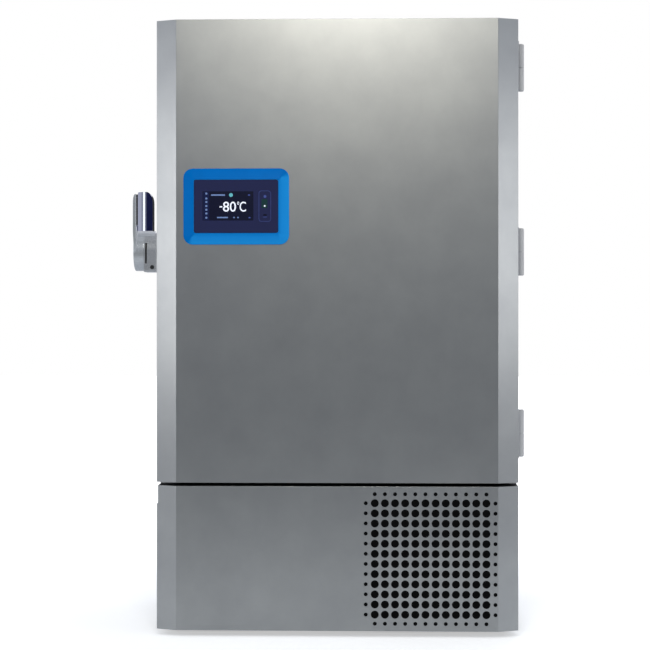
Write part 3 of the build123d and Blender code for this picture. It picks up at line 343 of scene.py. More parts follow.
# This black nylon also serves as painted shade in the handle housing's groove and lock.
black_nylon_and_painted_shade = finish_of("black_glass_filled_nylon_and_painted_shade", "#121314", "#0E0F0F", (0.45, 0.6), grain=0.9, bump=0.03)
cover_glass = finish_of("tinted_cover_glass", "#1B2156", "#191F52", (0.05, 0.09), grain=60.0, bump=0.001,
                        more={"IOR": 1.52, "Coat Weight": 0.5, "Coat Roughness": 0.03})
gasket_rubber = finish_of("extruded_grey_pvc", "#64676B", "#5C5F63", (0.45, 0.6), grain=1.2)
# Also painted shade and reflection: lower panel's top, the handle's slit and grip's inner side.
black_rubber = finish_of("black_rubber", "#17181A", "#101112", (0.6, 0.75), bump=0.05)
tyre_rubber = finish_of("grey_polyurethane_tyre", "#4A4D51", "#3F4246", (0.42, 0.6), 0.0, 20, 1.2, 0.04)
foam_cells = finish_of("rigid_polyurethane_foam", "#DCC98F", "#CDB97D", (0.75, 0.9), grain=1.5, bump=0.4)
black_foam = finish_of("black_filter_foam", "#0B0C0D", "#060607", (0.85, 0.95), grain=2.0, bump=0.8,
                       detail=5.0, more={"Specular IOR Level": 0.1})
filter_mat = finish_of("filter_foam", "#2A2B2D", "#1B1C1D", (0.8, 0.95), grain=2.5, bump=0.9, detail=5.0)

# %% Materials on the CAD nodes
finish_by_slot = {
    "cabinet_paint": powder_coat, "frame_paint": dark_coat, "insulation": foam_cells,
    "liner_steel": rolled_steel, "white_plastic": white_abs, "door_steel": brushed_steel,
    "copper": copper, "hinge_zinc": zinc_coat, "pin_steel": turned_steel, "shell_paint": gloss_black,
    "black_rubber": black_rubber, "gasket_rubber": gasket_rubber, "wheel_rubber": tyre_rubber,
    "fin_aluminium": aluminium, "filter_mat": filter_mat, "black_plastic": black_nylon_and_painted_shade,
    "blue_plastic": blue_abs, "display_glass": cover_glass, "handle_plastic": silver_abs,
    "chrome": chrome_plate, "zinc_plate": zinc_plate,
}
slot_of = {row["node"]: row["material_slot"] for row in frame["record"]["subparts"]}
body_of = {node: body for body, group in frame["record"]["behaviour"]["bodies"].items() for node in group}
for node, piece in nodes.items():
    piece.data.materials.clear()
    piece.data.materials.append(finish_by_slot[slot_of[node]])
print("materials:", len(finish_by_slot))

# %% [markdown]
# New pieces are modelled as by hand. Each starts as a primitive of the right size at its place,
# and edit mode shapes it: faces, edges or points are picked by where they are and then extruded,
# inset, cut or moved. A finished piece has its object at the origin, as the CAD nodes do.

# %% Modelling helpers


def only(piece):
    """Selects one piece alone and makes it the active one."""
    clear()
    piece.select_set(True)
    bpy.context.view_layer.objects.active = piece


def settle(piece, name):
    """Names a new object and puts its place into its mesh."""
    only(piece)
    piece.name = name
    bpy.ops.object.transform_apply(location=True, rotation=True, scale=True)
    return piece


def brick(name, x, y, z):
    """A cube primitive stretched between two limits in millimetres along each axis."""
    clear()
    low, high = spot(x[0], y[0], z[0]), spot(x[1], y[1], z[1])
    bpy.ops.mesh.primitive_cube_add(size=1, location=(low + high) / 2, scale=high - low)
    return settle(bpy.context.object, name)


def bar(name, radius, start, end, sides=32):
    """A cylinder primitive from one place to another, in millimetres."""
    clear()
    low, high = spot(*start), spot(*end)
    turn = (high - low).to_track_quat("Z", "Y").to_euler()
    bpy.ops.mesh.primitive_cylinder_add(vertices=sides, radius=radius * MM, depth=(high - low).length,
                                        location=(low + high) / 2, rotation=turn)
    return settle(bpy.context.object, name)


def prism(name, corners, push):
    """A closed solid from a flat outline of places in millimetres, pushed by a vector in the same."""
    mesh = bpy.data.meshes.new(name)
    mesh.from_pydata([spot(*corner) for corner in corners], [], [list(range(len(corners)))])
    solid = bpy.data.objects.new(name, mesh)
    bpy.context.scene.collection.objects.link(solid)
    pick(solid)
    extrude(Vector(push) * MM)
    bpy.ops.mesh.select_all(action="SELECT")
    bpy.ops.mesh.normals_make_consistent(inside=False)
    clear()
    return solid


def arc(centre, radii, start, end, steps):
    """Points on an ellipse's arc between two angles in degrees, as pairs in millimetres."""
    turns = [math.radians(start + (end - start) * i / steps) for i in range(steps + 1)]
    return [(centre[0] + radii[0] * math.cos(a), centre[1] + radii[1] * math.sin(a)) for a in turns]


def pick(piece, faces=None, edges=None, points=None):
    """Edits a piece with what passes a test of place in mm and normal or direction picked, or all."""
    only(piece)
    whole = not (faces or edges or points)
    bpy.context.tool_settings.mesh_select_mode = (bool(points), bool(edges), bool(faces) or whole)
    mesh = piece.data
    for item in (*mesh.vertices, *mesh.edges, *mesh.polygons):
        item.select = whole
    for face in mesh.polygons if faces else ():
        face.select = bool(faces(off_rim(face.center), face.normal))
    for edge in mesh.edges if edges else ():
        one, two = (mesh.vertices[i].co for i in edge.vertices)
        edge.select = bool(edges(off_rim((one + two) / 2), (two - one).normalized()))
    for point in mesh.vertices if points else ():
        point.select = bool(points(off_rim(point.co)))
    bpy.ops.object.mode_set(mode="EDIT")


def extrude(offset):
    """Extrudes the picked faces by a vector in metres."""
    bpy.ops.mesh.extrude_region_move(TRANSFORM_OT_translate={"value": offset})


def inset(width, depth=0.0):
    """Draws a smaller copy into the picked faces, at a distance and depth in millimetres."""
    bpy.ops.mesh.inset(thickness=width * MM, depth=depth * MM)


def round_edges(radius, segments):
    """Rounds the picked edges, in millimetres."""
    bpy.ops.mesh.bevel(offset=radius * MM, segments=segments, affect="EDGES")


def face_out(piece):
    """Turns all faces of a closed piece outwards."""
    pick(piece)
    bpy.ops.mesh.normals_make_consistent(inside=False)


def treat(piece, kind, **settings):
    """Adds a modifier with its settings and applies it."""
    only(piece)
    tool = piece.modifiers.new(kind.lower(), kind)
    for name, value in settings.items():
        setattr(tool, name, value)
    bpy.ops.object.modifier_apply(modifier=tool.name)
    return piece


def soften(piece, radius, segments=2, angle=30):
    """Rounds every edge that is sharper than an angle, with a radius in millimetres."""
    return treat(piece, "BEVEL", width=radius * MM, segments=segments, limit_method="ANGLE",
                 angle_limit=math.radians(angle), use_clamp_overlap=True)


def carve(piece, *cutters, operation="DIFFERENCE"):
    """Cuts closed pieces out of one, or keeps what it shares with them, and deletes them."""
    for cutter in cutters:
        treat(piece, "BOOLEAN", operation=operation, object=cutter, solver="EXACT")
        bpy.data.objects.remove(cutter)
    return piece


def repeat(piece, count, step):
    """Repeats a piece by an array, with its step in millimetres."""
    return treat(piece, "ARRAY", count=count, use_relative_offset=False, use_constant_offset=True,
                 constant_offset_displace=[v * MM for v in step])


def join(name, *parts):
    """Makes one object of several."""
    clear()
    for part in parts:
        part.select_set(True)
    bpy.context.view_layer.objects.active = parts[0]
    bpy.ops.object.join()
    return settle(parts[0], name)


def done(piece, finish, smooth=35):
    """Gives a piece its finish, and smooth shading on all but its flat faces and sharp edges."""
    only(piece)
    if finish:
        piece.data.materials.clear()
        piece.data.materials.append(finish)
    bpy.ops.object.shade_smooth_by_angle(angle=math.radians(smooth))
    return treat(piece, "WEIGHTED_NORMAL", keep_sharp=True)


def stand_in(piece, *names):
    """The piece stands for these CAD nodes: it rides on their body, and they are hidden."""
    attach(piece, body_of[names[0]])
    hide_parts(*names)


def belongs(piece, node):
    """An added detail rides on the body of a CAD node."""
    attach(piece, body_of[node])


# %% [markdown]
# Many CAD nodes have the right shape and only lack the soft edges that folded, cast or moulded
# pieces have. For these, a copy of the node's mesh is merged into one skin, its flat areas are
# freed from the triangles, and every sharp edge gets a small radius.

# %% Soft edged copies of CAD nodes


def copy_of(node):
    """A new piece with the merged mesh of a CAD node."""
    piece = bpy.data.objects.new(node + "_soft", nodes[node].data.copy())
    bpy.context.scene.collection.objects.link(piece)
    pick(piece)
    bpy.ops.mesh.remove_doubles(threshold=0.00002)
    bpy.ops.mesh.dissolve_limited(angle_limit=math.radians(0.5))
    clear()
    return piece


def softened(node, radius, segments=2, angle=30, finish=None, smooth=35):
    """Replaces a CAD node by a copy of itself whose sharp edges are rounded, in millimetres."""
    piece = soften(copy_of(node), radius, segments, angle)
    done(piece, finish, smooth)
    stand_in(piece, node)
    return piece


def landing(node, place, toward):
    """Where a line from a place in millimetres, along a direction, first meets a CAD node."""
    mesh = nodes[node].data
    skin = BVHTree.FromPolygons([v.co for v in mesh.vertices], [f.vertices for f in mesh.polygons])
    where = skin.ray_cast(spot(*place), Vector(toward))[0]
    assert where, (node, place)
    return off_rim(where)


def grid(columns, y, rows):
    """Places at every pair of x and z."""
    return [(x, y, z) for x in columns for z in rows]


def screw_heads(name, node, starts, toward, radius=4.2, height=1.6):
    """Domed heads with a hexagon socket where lines from these places meet the node."""
    out = -Vector(toward)
    heads = []
    for start in starts:
        seat = landing(node, start, toward)
        head = bar(name, radius, seat - out * 0.4, seat + out * height, 20)
        pick(head, edges=lambda p, d: (p - seat).dot(out) > height - 0.1)
        round_edges(height * 0.7, 3)
        socket = bar("socket", radius * 0.45, seat + out * height * 0.4, seat + out * (height + 1), 6)
        heads.append(carve(head, socket))
    belongs(done(join(name, *heads), zinc_plate), node)


def second_finish(piece, finish, faces):
    """Gives the faces that pass a test of place in mm and normal a finish of their own."""
    piece.data.materials.append(finish)
    for face in piece.data.polygons:
        if faces(off_rim(face.center), face.normal):
            face.material_index = len(piece.data.materials) - 1


# %% [markdown]
# The door skin and the lower panel are folded from one pattern: a flat front with a bevel down
# each side, 66 mm wide and 30 mm deep, and walls that run back. A cube is cut along the bevels, its
# outer corners are pushed back, its rear face is deleted and the shell gets the thickness of sheet
# steel. Small radii on the folds catch the light.

# %% The folded front
BEVEL_WIDE, BEVEL_DEEP, SHEET = 66, 30, 1.5


def folded_front(name, node):
    """A pan with a bevelled front that fills the box of its CAD node."""
    low, high = extent(node)
    pan = brick(name, *zip(low, high))
    for side in (-1, 1):
        pick(pan)
        cut = spot(side * (high.x - BEVEL_WIDE), low.y, low.z)
        bpy.ops.mesh.bisect(plane_co=cut, plane_no=(1, 0, 0))
    pick(pan, points=lambda p: abs(p.x) > high.x - 1 and p.y < low.y + 1)
    bpy.ops.transform.translate(value=(0, BEVEL_DEEP * MM, 0))
    pick(pan, faces=lambda p, n: n.y > 0.9)
    bpy.ops.mesh.delete(type="FACE")
    treat(pan, "SOLIDIFY", thickness=SHEET * MM, offset=-1, use_even_offset=True)
    return soften(pan, 2.2, segments=3, angle=20)


door_skin = folded_front("door_skin_steel", "door_skin")
stand_in(done(door_skin, brushed_steel), "door_skin")

# %% [markdown]
# The lower panel breathes: 144 round holes of one inch in a square, with a row of half inch holes
# along each side. One hole is a cylinder, repeated by an array, and the whole set is cut out of the
# sheet at once. A notch at the upper left corner leaves room for a finger, the top face is painted
# black as the shade in the gap under the door, and a mat of black filter foam lies behind the holes.

# %% The lower panel with its holes
PITCH, COUNT, HOLE_R, SMALL_R = 32.4, 12, 12.7, 6.35
SMALL_OUT, HOLES_X, MAT_RIM, MAT_T = 29.0, 300.0, 8, 5
panel_low, panel_high = extent("lower_fascia")
HOLES_Z = (panel_low.z + panel_high.z) / 2
half_field = (COUNT - 1) * PITCH / 2


def hole_grid(name, radius, sides, x, z, columns, rows, step_x, step_z):
    """Cutters for a grid of holes, from the lowest left one."""
    hole = bar(name, radius, (x, panel_low.y - 4, z), (x, panel_low.y + 6, z), sides)
    return repeat(repeat(hole, columns, (step_x, 0, 0)), rows, (0, 0, step_z))


lower_panel = folded_front("lower_panel_steel", "lower_fascia")
x0, z0 = HOLES_X - half_field, HOLES_Z - half_field
outside = 2 * (half_field + SMALL_OUT)
holes = join(
    "holes",
    hole_grid("large", HOLE_R, 28, x0, z0, COUNT, COUNT, PITCH, PITCH),
    hole_grid("beside", SMALL_R, 20, x0 - SMALL_OUT, z0, 2, COUNT, outside, PITCH),
    hole_grid("over", SMALL_R, 20, x0, z0 - SMALL_OUT, COUNT, 2, PITCH, outside),
)
notch = brick("notch", (-body_half - 2, -body_half + 4), (panel_low.y - 2, panel_high.y + 2),
              (panel_high.z - 59, panel_high.z + 2))
carve(lower_panel, holes, notch)
done(lower_panel, brushed_steel)
# Painted shade: the top face gets the black finish, for the dark gap between door and panel.
second_finish(lower_panel, black_rubber, lambda p, n: n.z > 0.9 and p.z > panel_high.z - 1)
stand_in(lower_panel, "lower_fascia")

mat_half = half_field + SMALL_OUT + MAT_RIM
mat_y = panel_low.y + SHEET
panel_mat = brick("panel_mat", around(HOLES_X, 2 * mat_half), (mat_y, mat_y + MAT_T),
                  around(HOLES_Z, 2 * mat_half))
belongs(done(soften(panel_mat, 2.0, segments=3), black_foam), "lower_fascia")

# %% [markdown]
# The display sits in a raised blue frame of polished ABS. Its sides slope, first steeply and then
# less, and its corners are round. A plane with round corners is extruded a little. An inset, moved
# towards the viewer, makes the first slope, and a smaller copy of its face, moved again, makes the
# second. That face is sunk through the frame and deleted, and its edge is joined to the back edge.

# %% The display's blue frame


def rounded_plate(name, centre, size, radius, y, segments=8):
    """A flat face to the front with round corners, in millimetres."""
    clear()
    bpy.ops.mesh.primitive_plane_add(size=1, location=spot(centre[0], y, centre[1]),
                                     rotation=(math.radians(90), 0, 0))
    bpy.context.object.scale = (size[0] * MM, size[1] * MM, 1)
    plate = settle(bpy.context.object, name)
    pick(plate, points=lambda p: True)
    bpy.ops.mesh.bevel(offset=radius * MM, segments=segments, affect="VERTICES", clamp_overlap=True)
    return plate


bezel_low, bezel_high = extent("display_bezel")
DISPLAY = ((bezel_low.x + bezel_high.x) / 2, (bezel_low.z + bezel_high.z) / 2)
bezel_size = (bezel_high.x - bezel_low.x, bezel_high.z - bezel_low.z)
glass_low, glass_high = extent("display_glass")
EDGE, SLOPE, STEEP = 3.0, 23.0, 0.8  # upright edge, steeper slope's width and share of the rise
WINDOW = (271, 171)
slope_end = [v - 2 * SLOPE for v in bezel_size]

bezel = rounded_plate("display_frame", DISPLAY, bezel_size, 30, bezel_high.y)
pick(bezel)
extrude((0, -EDGE * MM, 0))
inset(SLOPE)
rise = bezel_low.y - bezel_high.y + EDGE
bpy.ops.transform.translate(value=(0, rise * STEEP * MM, 0))
extrude((0, rise * (1 - STEEP) * MM, 0))
shrink = [w / s for w, s in zip(WINDOW, slope_end)]
bpy.ops.transform.resize(value=(shrink[0], 1, shrink[1]),
                         center_override=spot(DISPLAY[0], bezel_low.y, DISPLAY[1]))
extrude((0, (bezel_high.y - bezel_low.y) * MM, 0))
bpy.ops.mesh.delete(type="FACE")
pick(bezel, edges=lambda p, d: p.y > bezel_high.y - 0.05)
bpy.ops.mesh.bridge_edge_loops()
pick(bezel)
bpy.ops.mesh.remove_doubles(threshold=0.00001)
bpy.ops.mesh.normals_make_consistent(inside=False)
stand_in(done(soften(bezel, 1.6, segments=3, angle=22), blue_abs), "display_bezel")

# %% [markdown]
# Behind the frame lies a sheet of tinted cover glass. The lit screen and the keys show through it,
# and are modelled as flat tiles a tenth of a millimetre over the glass. Their light is emission,
# readable in any light. The one reading is a plain number, and bars and dots stand for text.

# %% Cover glass
glass_size = (glass_high.x - glass_low.x, glass_high.z - glass_low.z)
glass = rounded_plate("cover_glass", DISPLAY, glass_size, 8, glass_high.y)
pick(glass)
extrude((0, (glass_low.y - glass_high.y) * MM, 0))
face_out(glass)
stand_in(done(soften(glass, 0.4, angle=40), cover_glass), "display_glass")

# %% Finishes of what lights up


def lit(name, colour, strength):
    """A screen area: its colour, and how strongly it glows by itself."""
    skin = finish_of(name, colour, colour, (0.2, 0.24), grain=20, bump=0.0)
    tune(skin, {"Emission Color": linear(colour), "Emission Strength": strength})
    return skin


screen_black = lit("screen_background", "#000428", 0.2)
screen_blue = lit("screen_icon_column", "#081440", 0.3)
screen_white = lit("screen_white_light", "#E6ECFA", 0.6)
screen_pale = lit("screen_pale_light", "#6F88BC", 0.3)
screen_teal = lit("screen_teal_light", "#5FB0BC", 0.45)
key_green = lit("key_dark_green_print", "#0B3436", 0.2)
key_blue = lit("key_blue_print", "#44549C", 0.25)

# %% Tiles on the glass
FACE, TILE_T = glass_low.y, 0.1
level = {"ground": 0.10, "mark": 0.20, "print": 0.30}  # how far the front of a tile is off the glass


def tile(name, x, z, finish, lift="mark", radius=None):
    """A flat tile between two x and two z limits, lifted off the glass."""
    size = (x[1] - x[0], z[1] - z[0])
    plate = rounded_plate(name, ((x[0] + x[1]) / 2, (z[0] + z[1]) / 2), size,
                          radius or min(size) * 0.3, FACE - level[lift] + TILE_T, segments=3)
    pick(plate)
    extrude((0, -TILE_T * MM, 0))
    face_out(plate)
    return done(plate, finish)


tiles = [
    tile("screen_ground", (-429.5, -266.5), (1334.5, 1428.0), screen_black, "ground", 2.0),
    tile("screen_column", (-427.5, -408.5), (1335.5, 1427.0), screen_blue, "mark", 1.5),
    tile("status_bar", (-402.5, -357.5), around(1416.2, 4.6), screen_pale),
    tile("status_dot", around(-338.3, 12), around(1416.2, 12), screen_teal, radius=5.6),
    tile("status_mark", around(-280.6, 7), around(1416.0, 4), key_blue),
    tile("lower_bar", (-383.3, -348.0), around(1344.2, 4.2), screen_pale),
    tile("lower_mark_left", around(-328.7, 5), around(1344.2, 4.2), screen_pale),
    tile("lower_mark_middle", around(-315.9, 5), around(1344.2, 4.2), screen_pale),
    tile("lower_mark_right", around(-279.0, 6), around(1343.7, 4.2), key_blue),
]
for row, z in enumerate((1420.8, 1405.1, 1393.9, 1381.1, 1369.3, 1357.1, 1343.6)):
    tiles.append(tile(f"icon_{row}", around(-417.5, 6.5), around(z, 6.0), screen_pale, "print"))

# %% [markdown]
# The reading is a minus sign, an eight, a nought, a small ring for degrees and a letter C. Text
# objects give them, turned into meshes and scaled to the size that the picture shows.

# %% The reading


def reading(text, left, low, high, width, depth):
    """Raised characters with a given left edge, lower and upper edge and width, in millimetres."""
    clear()
    bpy.ops.object.text_add(location=(0, 0, 0), rotation=(math.radians(90), 0, 0))
    words = bpy.context.object
    words.data.body = text
    words.data.extrude = 0.05 * MM
    words.data.offset = 0.004
    bpy.ops.object.convert(target="MESH")
    settle(words, "reading_" + str(round(left)))
    shift = [min(v.co[i] for v in words.data.vertices) for i in (0, 2)]
    size = [max(v.co[i] for v in words.data.vertices) - s for i, s in zip((0, 2), shift)]
    words.location = (-shift[0], 0, -shift[1])
    settle(words, words.name)
    words.scale = (width * MM / size[0], 1, (high - low) * MM / size[1])
    words.location = spot(left, depth, low)
    return done(settle(words, words.name), screen_white)


mark_y = FACE - 0.25
tiles += [
    tile("minus_sign", (-374.9, -366.3), around(1378.5, 4.2), screen_white, radius=0.6),
    reading("80", -364.0, 1363.0, 1394.8, 41.7, mark_y),
    reading("°", -318.6, 1385.2, 1394.8, 6.6, mark_y),
    reading("C", -310.6, 1363.0, 1394.8, 20.4, mark_y),
]

# %% The keys beside the screen
key_edge = rounded_plate("key_outline", (-229.8, 1380.4), (38.8, 98.6), 9, FACE - 0.1)
pick(key_edge)
inset(0.9)
bpy.ops.mesh.delete(type="FACE")
treat(key_edge, "SOLIDIFY", thickness=TILE_T * MM, offset=0)
tiles += [
    done(key_edge, key_blue),
    tile("key_upper", around(-229.3, 9), around(1411.4, 9), key_blue, radius=4),
    tile("key_middle", (-240.5, -221.3), (1374.3, 1403.1), key_green, radius=3),
    tile("key_dot", around(-230.3, 5.5), around(1381.0, 5.5), screen_white, "print", 2.6),
    tile("key_lower", around(-229.3, 12), around(1351.5, 8), screen_black, radius=3),
    tile("key_lower_edge", around(-229.3, 12), around(1345.6, 1.6), key_blue, radius=0.7),
]
screen = join("screen_and_keys", *tiles)
belongs(screen, "display_glass")

# %% [markdown]
# The handle is three things: a housing on the door's edge with the key lock, a round lever that
# turns about a level shaft, and the chrome grip that the hand pulls. The grip is an upright bar
# whose shoulder falls away to the door. Seen from above, its face is flat on the right and curves
# back on the left, so that it mirrors the room in upright bands. It is what two outlines share, one
# from above and one from the front. Its inner side, towards the door, is black: a painted
# reflection, for the dark band that the chrome mirrors beside the door.

# %% The chrome grip
grip_low, grip_high = extent("handle_grip")
GRIP_FOOT, GRIP_LEFT = 20.0, -638.5
FACE_R, FACE_START = 53.0, 40.6  # radius of the curved face, and how far from the left it starts
turned = math.degrees(math.asin(FACE_START / FACE_R))
face = arc((GRIP_LEFT + FACE_START, grip_low.y + FACE_R), (FACE_R, FACE_R), 270 - turned, 270, 24)
above = [(GRIP_LEFT, grip_high.y), *face, (grip_high.x, grip_low.y), (grip_high.x, grip_high.y)]
ahead = [(GRIP_LEFT, grip_low.z), (grip_high.x, grip_low.z),
         *arc((grip_high.x - 20, grip_high.z - 36), (20, 36), 0, 90, 12),
         *arc((GRIP_LEFT + 4, grip_high.z - 6), (4, 6), 90, 180, 5)]
grip = prism("chrome_grip", [(x, y, grip_low.z) for x, y in above], (0, 0, grip_high.z - grip_low.z))
outline = [(x, grip_low.y - 5, z) for x, z in ahead]
carve(grip, prism("outline", outline, (0, grip_high.y - grip_low.y + 10, 0)), operation="INTERSECT")
soften(grip, 1.2, segments=3, angle=40)
grip_foot = brick("grip_foot", (grip_low.x, GRIP_LEFT + 3), (grip_high.y - 30, grip_high.y - 4),
                  (grip_low.z, grip_low.z + GRIP_FOOT))
soften(grip_foot, 2)
grip = join("chrome_grip", grip, grip_foot)
done(grip, chrome_plate, 30)
# Painted reflection: the inner side is black for the dark band that the chrome mirrors there.
second_finish(grip, black_rubber, lambda p, n: n.x > 0.7 and p.x > grip_high.x - 4)
stand_in(grip, "handle_grip")

# %% [markdown]
# The lever's hub is a shallow drum on the latch's shaft, beside the door's edge, and its arm
# rises beside the grip. The drum's outer rim is rounded, as moulded ones are, and a shallow dish
# sits in its middle. The arm's shoulder carries on the line of the grip's. A black strip in the
# slit between the two is painted shade, and under the grip a curved apron slides over the
# housing's round top.

# %% The lever
lever_low, lever_high = extent("handle_lever")
PIVOT_Y, PIVOT_Z, HUB_R, HOUSE_R, HUB_FACE = -60.0, 1238.0, 63.0, 62.0, 18.0
RIM_W, DISH, RIM_R, SKIRT_T = 22, 1.5, 4, 5  # the hub's rim, dish and rounding, and the wall behind
ARM_W, ARM_T, ARM_TOP = 11.0, 8.5, 1420  # where the arm's right side is, its thickness and upper end
silver_lever = finish_of("pale_silver_painted_abs", "#CFD5DC", "#C8CED5", (0.2, 0.28), 0.45, grain=1.2,
                         bump=0.01, more=PAINTED)


def drum(name, x):
    """A round bar about the lever's pivot between two x limits."""
    return bar(name, HUB_R, (x[0], PIVOT_Y, PIVOT_Z), (x[1], PIVOT_Y, PIVOT_Z), 64)


def off_pivot(p):
    """How far a place is from the pivot's line."""
    return math.hypot(p.y - PIVOT_Y, p.z - PIVOT_Z)


hub = drum("lever_hub", (lever_low.x, lever_low.x + HUB_FACE))
pick(hub, faces=lambda p, n: n.x < -0.9)
inset(RIM_W)
extrude((DISH * MM, 0, 0))
pick(hub, edges=lambda p, d: p.x < lever_low.x + 0.1 and off_pivot(p) > HUB_R - 2)
round_edges(RIM_R, 4)
skirt = drum("lever_skirt", (lever_low.x + HUB_FACE - 0.1, lever_high.x))
pick(skirt, faces=lambda p, n: abs(n.x) > 0.9)
bpy.ops.mesh.delete(type="FACE")
pick(skirt)
bpy.ops.mesh.bisect(plane_co=spot(0, PIVOT_Y, 0), plane_no=(0, 1, 0), clear_outer=True)
treat(skirt, "SOLIDIFY", thickness=SKIRT_T * MM, offset=-1)

beside = [(-146, 1301), (-146, ARM_TOP), (-124, ARM_TOP), (-102, 1376), (-39, PIVOT_Z),
          (PIVOT_Y - HUB_R, PIVOT_Z)]
arm_right = lever_low.x + ARM_W
arm_left = arm_right - ARM_T
arm = prism("lever_arm", [(arm_left, y, z) for y, z in beside], (ARM_T, 0, 0))
ahead = [(arm_left, PIVOT_Z - 70), (arm_right, PIVOT_Z - 70), (arm_right, ARM_TOP),
         *arc((arm_right - 0.5, ARM_TOP - 26), (ARM_T - 0.5, 26), 90, 180, 10)]
carve(arm, prism("outline", [(x, -160, z) for x, z in ahead], (0, 170, 0)), operation="INTERSECT")
soften(arm, 1.6, segments=3)
soften(skirt, 1.0)
lever = join("latch_lever", hub, skirt, arm)
stand_in(done(lever, silver_lever), "handle_lever")
APRON_R, APRON_T, APRON_FROM, APRON_TO = HOUSE_R + 1.5, 3.0, 91, 131
outer = arc((PIVOT_Y, PIVOT_Z), (APRON_R + APRON_T, APRON_R + APRON_T), APRON_FROM, APRON_TO, 14)
inner = arc((PIVOT_Y, PIVOT_Z), (APRON_R, APRON_R), APRON_TO, APRON_FROM, 14)
apron = prism("grip_apron", [(lever_low.x + ARM_W - 0.5, y, z) for y, z in outer + inner],
              (grip_high.x - lever_low.x - ARM_W, 0, 0))
belongs(done(soften(apron, 0.8), silver_lever), "handle_lever")
# Painted shade: a black strip fills the slit between arm and grip, where shadow would lie.
slit_shade_strip = brick("slit_shade_strip", (lever_low.x + ARM_W - 0.5, GRIP_LEFT + 0.5), (-128, -112),
                  (grip_low.z + 14, ARM_TOP))
pick(slit_shade_strip, edges=lambda p, d: abs(d.x) > 0.9)
round_edges(5, 4)
belongs(done(slit_shade_strip, black_rubber), "handle_lever")

# %% [markdown]
# The housing carries the shaft. Its top is round to the front, so that the lever can sweep over
# it. A shallow groove runs down its front, and a bore takes the lock. The walls of the groove and
# the bore, and the key barrel's face, are black: painted shade in these recesses.

# %% The housing and its lock
house_low, house_high = extent("handle_housing")
lock_low, lock_high = extent("lock_cylinder")
lock_x, lock_z = (lock_low.x + lock_high.x) / 2, (lock_low.z + lock_high.z) / 2
CORNER, GROOVE_X, GROOVE_W, GROOVE_DEEP, BORE_R, KEY_R = 10.0, -614.0, 6.0, 6.0, 6.9, 6.0


def lock_bar(name, radius, before, behind):
    """A round bar on the lock's axis, longer than the lock by these."""
    return bar(name, radius, (lock_x, lock_low.y - before, lock_z), (lock_x, lock_high.y + behind, lock_z))


beside = [(house_high.y, house_high.z), *arc((PIVOT_Y, PIVOT_Z), (HOUSE_R, HOUSE_R), 90, 180, 15),
          (house_low.y, house_low.z), (house_high.y, house_low.z)]
housing = prism("latch_housing", [(house_low.x, y, z) for y, z in beside],
                (house_high.x - house_low.x, 0, 0))
pick(housing, edges=lambda p, d: abs(d.x) > 0.9 and p.z < house_low.z + 1)
round_edges(CORNER, 6)
groove = brick("groove", around(GROOVE_X, GROOVE_W), (house_low.y - 5, house_low.y + GROOVE_DEEP),
               (1198.0, 1300.0))
carve(housing, groove, lock_bar("bore", BORE_R, lock_low.y - house_low.y + 5, 2))
done(soften(housing, 1.4, segments=3), silver_abs)
# Painted shade: the walls of the groove and of the bore are black.
second_finish(housing, black_nylon_and_painted_shade, lambda p, n: house_low.y + 0.5 < p.y < house_low.y + 40 and (
    abs(p.x - GROOVE_X) < 3.5 or math.hypot(p.x - lock_x, p.z - lock_z) < 7.5))
stand_in(housing, "handle_housing")

key_face = lock_bar("key_barrel", KEY_R, 0, 0)
pick(key_face, faces=lambda p, n: n.y < -0.9)
inset(1.3)
extrude((0, 0.9 * MM, 0))
slot = brick("key_slot", around(lock_x, 1.4), (lock_low.y - 2, lock_low.y + 9), around(lock_z, 7.4))
carve(key_face, slot)
# Painted shade: the key barrel is black, as the deep lock would lie in shade.
stand_in(done(soften(key_face, 0.3), black_nylon_and_painted_shade), "lock_cylinder")
for part in (grip, lever, apron, slit_shade_strip, housing, key_face):  # the steel beside them shows none
    part.visible_shadow = part.visible_glossy = False
for part in (door_skin, lower_panel, bezel, screen, lever, housing):
    print(part.name + ":", len(part.data.polygons), "faces")

# %% [markdown]
# Three strap hinges carry the door on its right edge. Each is a pair of cast leaves on one pin,
# the rear one screwed to the cabinet's side and the front one to the door's, two screws each.

# %% Hinges
HINGES_Z, SCREW_UP, SCREW_IN = (648, 1238, 1838), 50, 48
start_x = extent("cabinet_hinge_leaves")[1].x + 30
screws_z = [z + up for z in HINGES_Z for up in (-SCREW_UP, SCREW_UP)]
for node, y in (("cabinet_hinge_leaves", SCREW_IN), ("door_hinge_leaves", -SCREW_IN)):
    softened(node, 2.2, segments=3)
    screw_heads(node + "_screws", node, grid([start_x], y, screws_z), (-1, 0, 0), radius=5.0, height=1.0)
softened("hinge_pins", 0.8)

# %% [markdown]
# The cabinet's skins are sheet steel folded at their edges, so every outside corner gets a small
# radius. The rear is closed by a plain sheet above and a louvred one below, held by screws.

# %% Cabinet skins
for node, radius in (("left_side_panel", 2.0), ("right_side_panel", 2.0), ("top_panel", 2.0),
                     ("rear_panel", 0.6), ("machine_rear_grille", 0.6), ("base_frame", 1.2),
                     ("machine_room_frame", 1.2)):
    softened(node, radius)
rear_low, rear_high = extent("rear_panel")
grille_low, grille_high = extent("machine_rear_grille")
SCREW_EDGE, TO_FRONT = 14, (0, -1, 0)  # how far the screws are from a sheet's sides, and where they point
screw_heads("rear_panel_screws", "rear_panel",
            grid((rear_low.x + SCREW_EDGE, rear_high.x - SCREW_EDGE), rear_high.y + 30,
                 (rear_low.z + 30, 740, 980, 1230, 1480, 1730, rear_high.z - 30)), TO_FRONT)
screw_heads("grille_screws", "machine_rear_grille",
            grid((grille_low.x + SCREW_EDGE, 0, grille_high.x - SCREW_EDGE), grille_high.y + 30,
                 (grille_low.z + 12, grille_high.z - 12)), TO_FRONT)

# %% [markdown]
# Behind the louvres a mat of black filter foam keeps dust out of the machine room, one sheet on
# each side. The left one has a notch for the power entry. Their edges are cut soft.

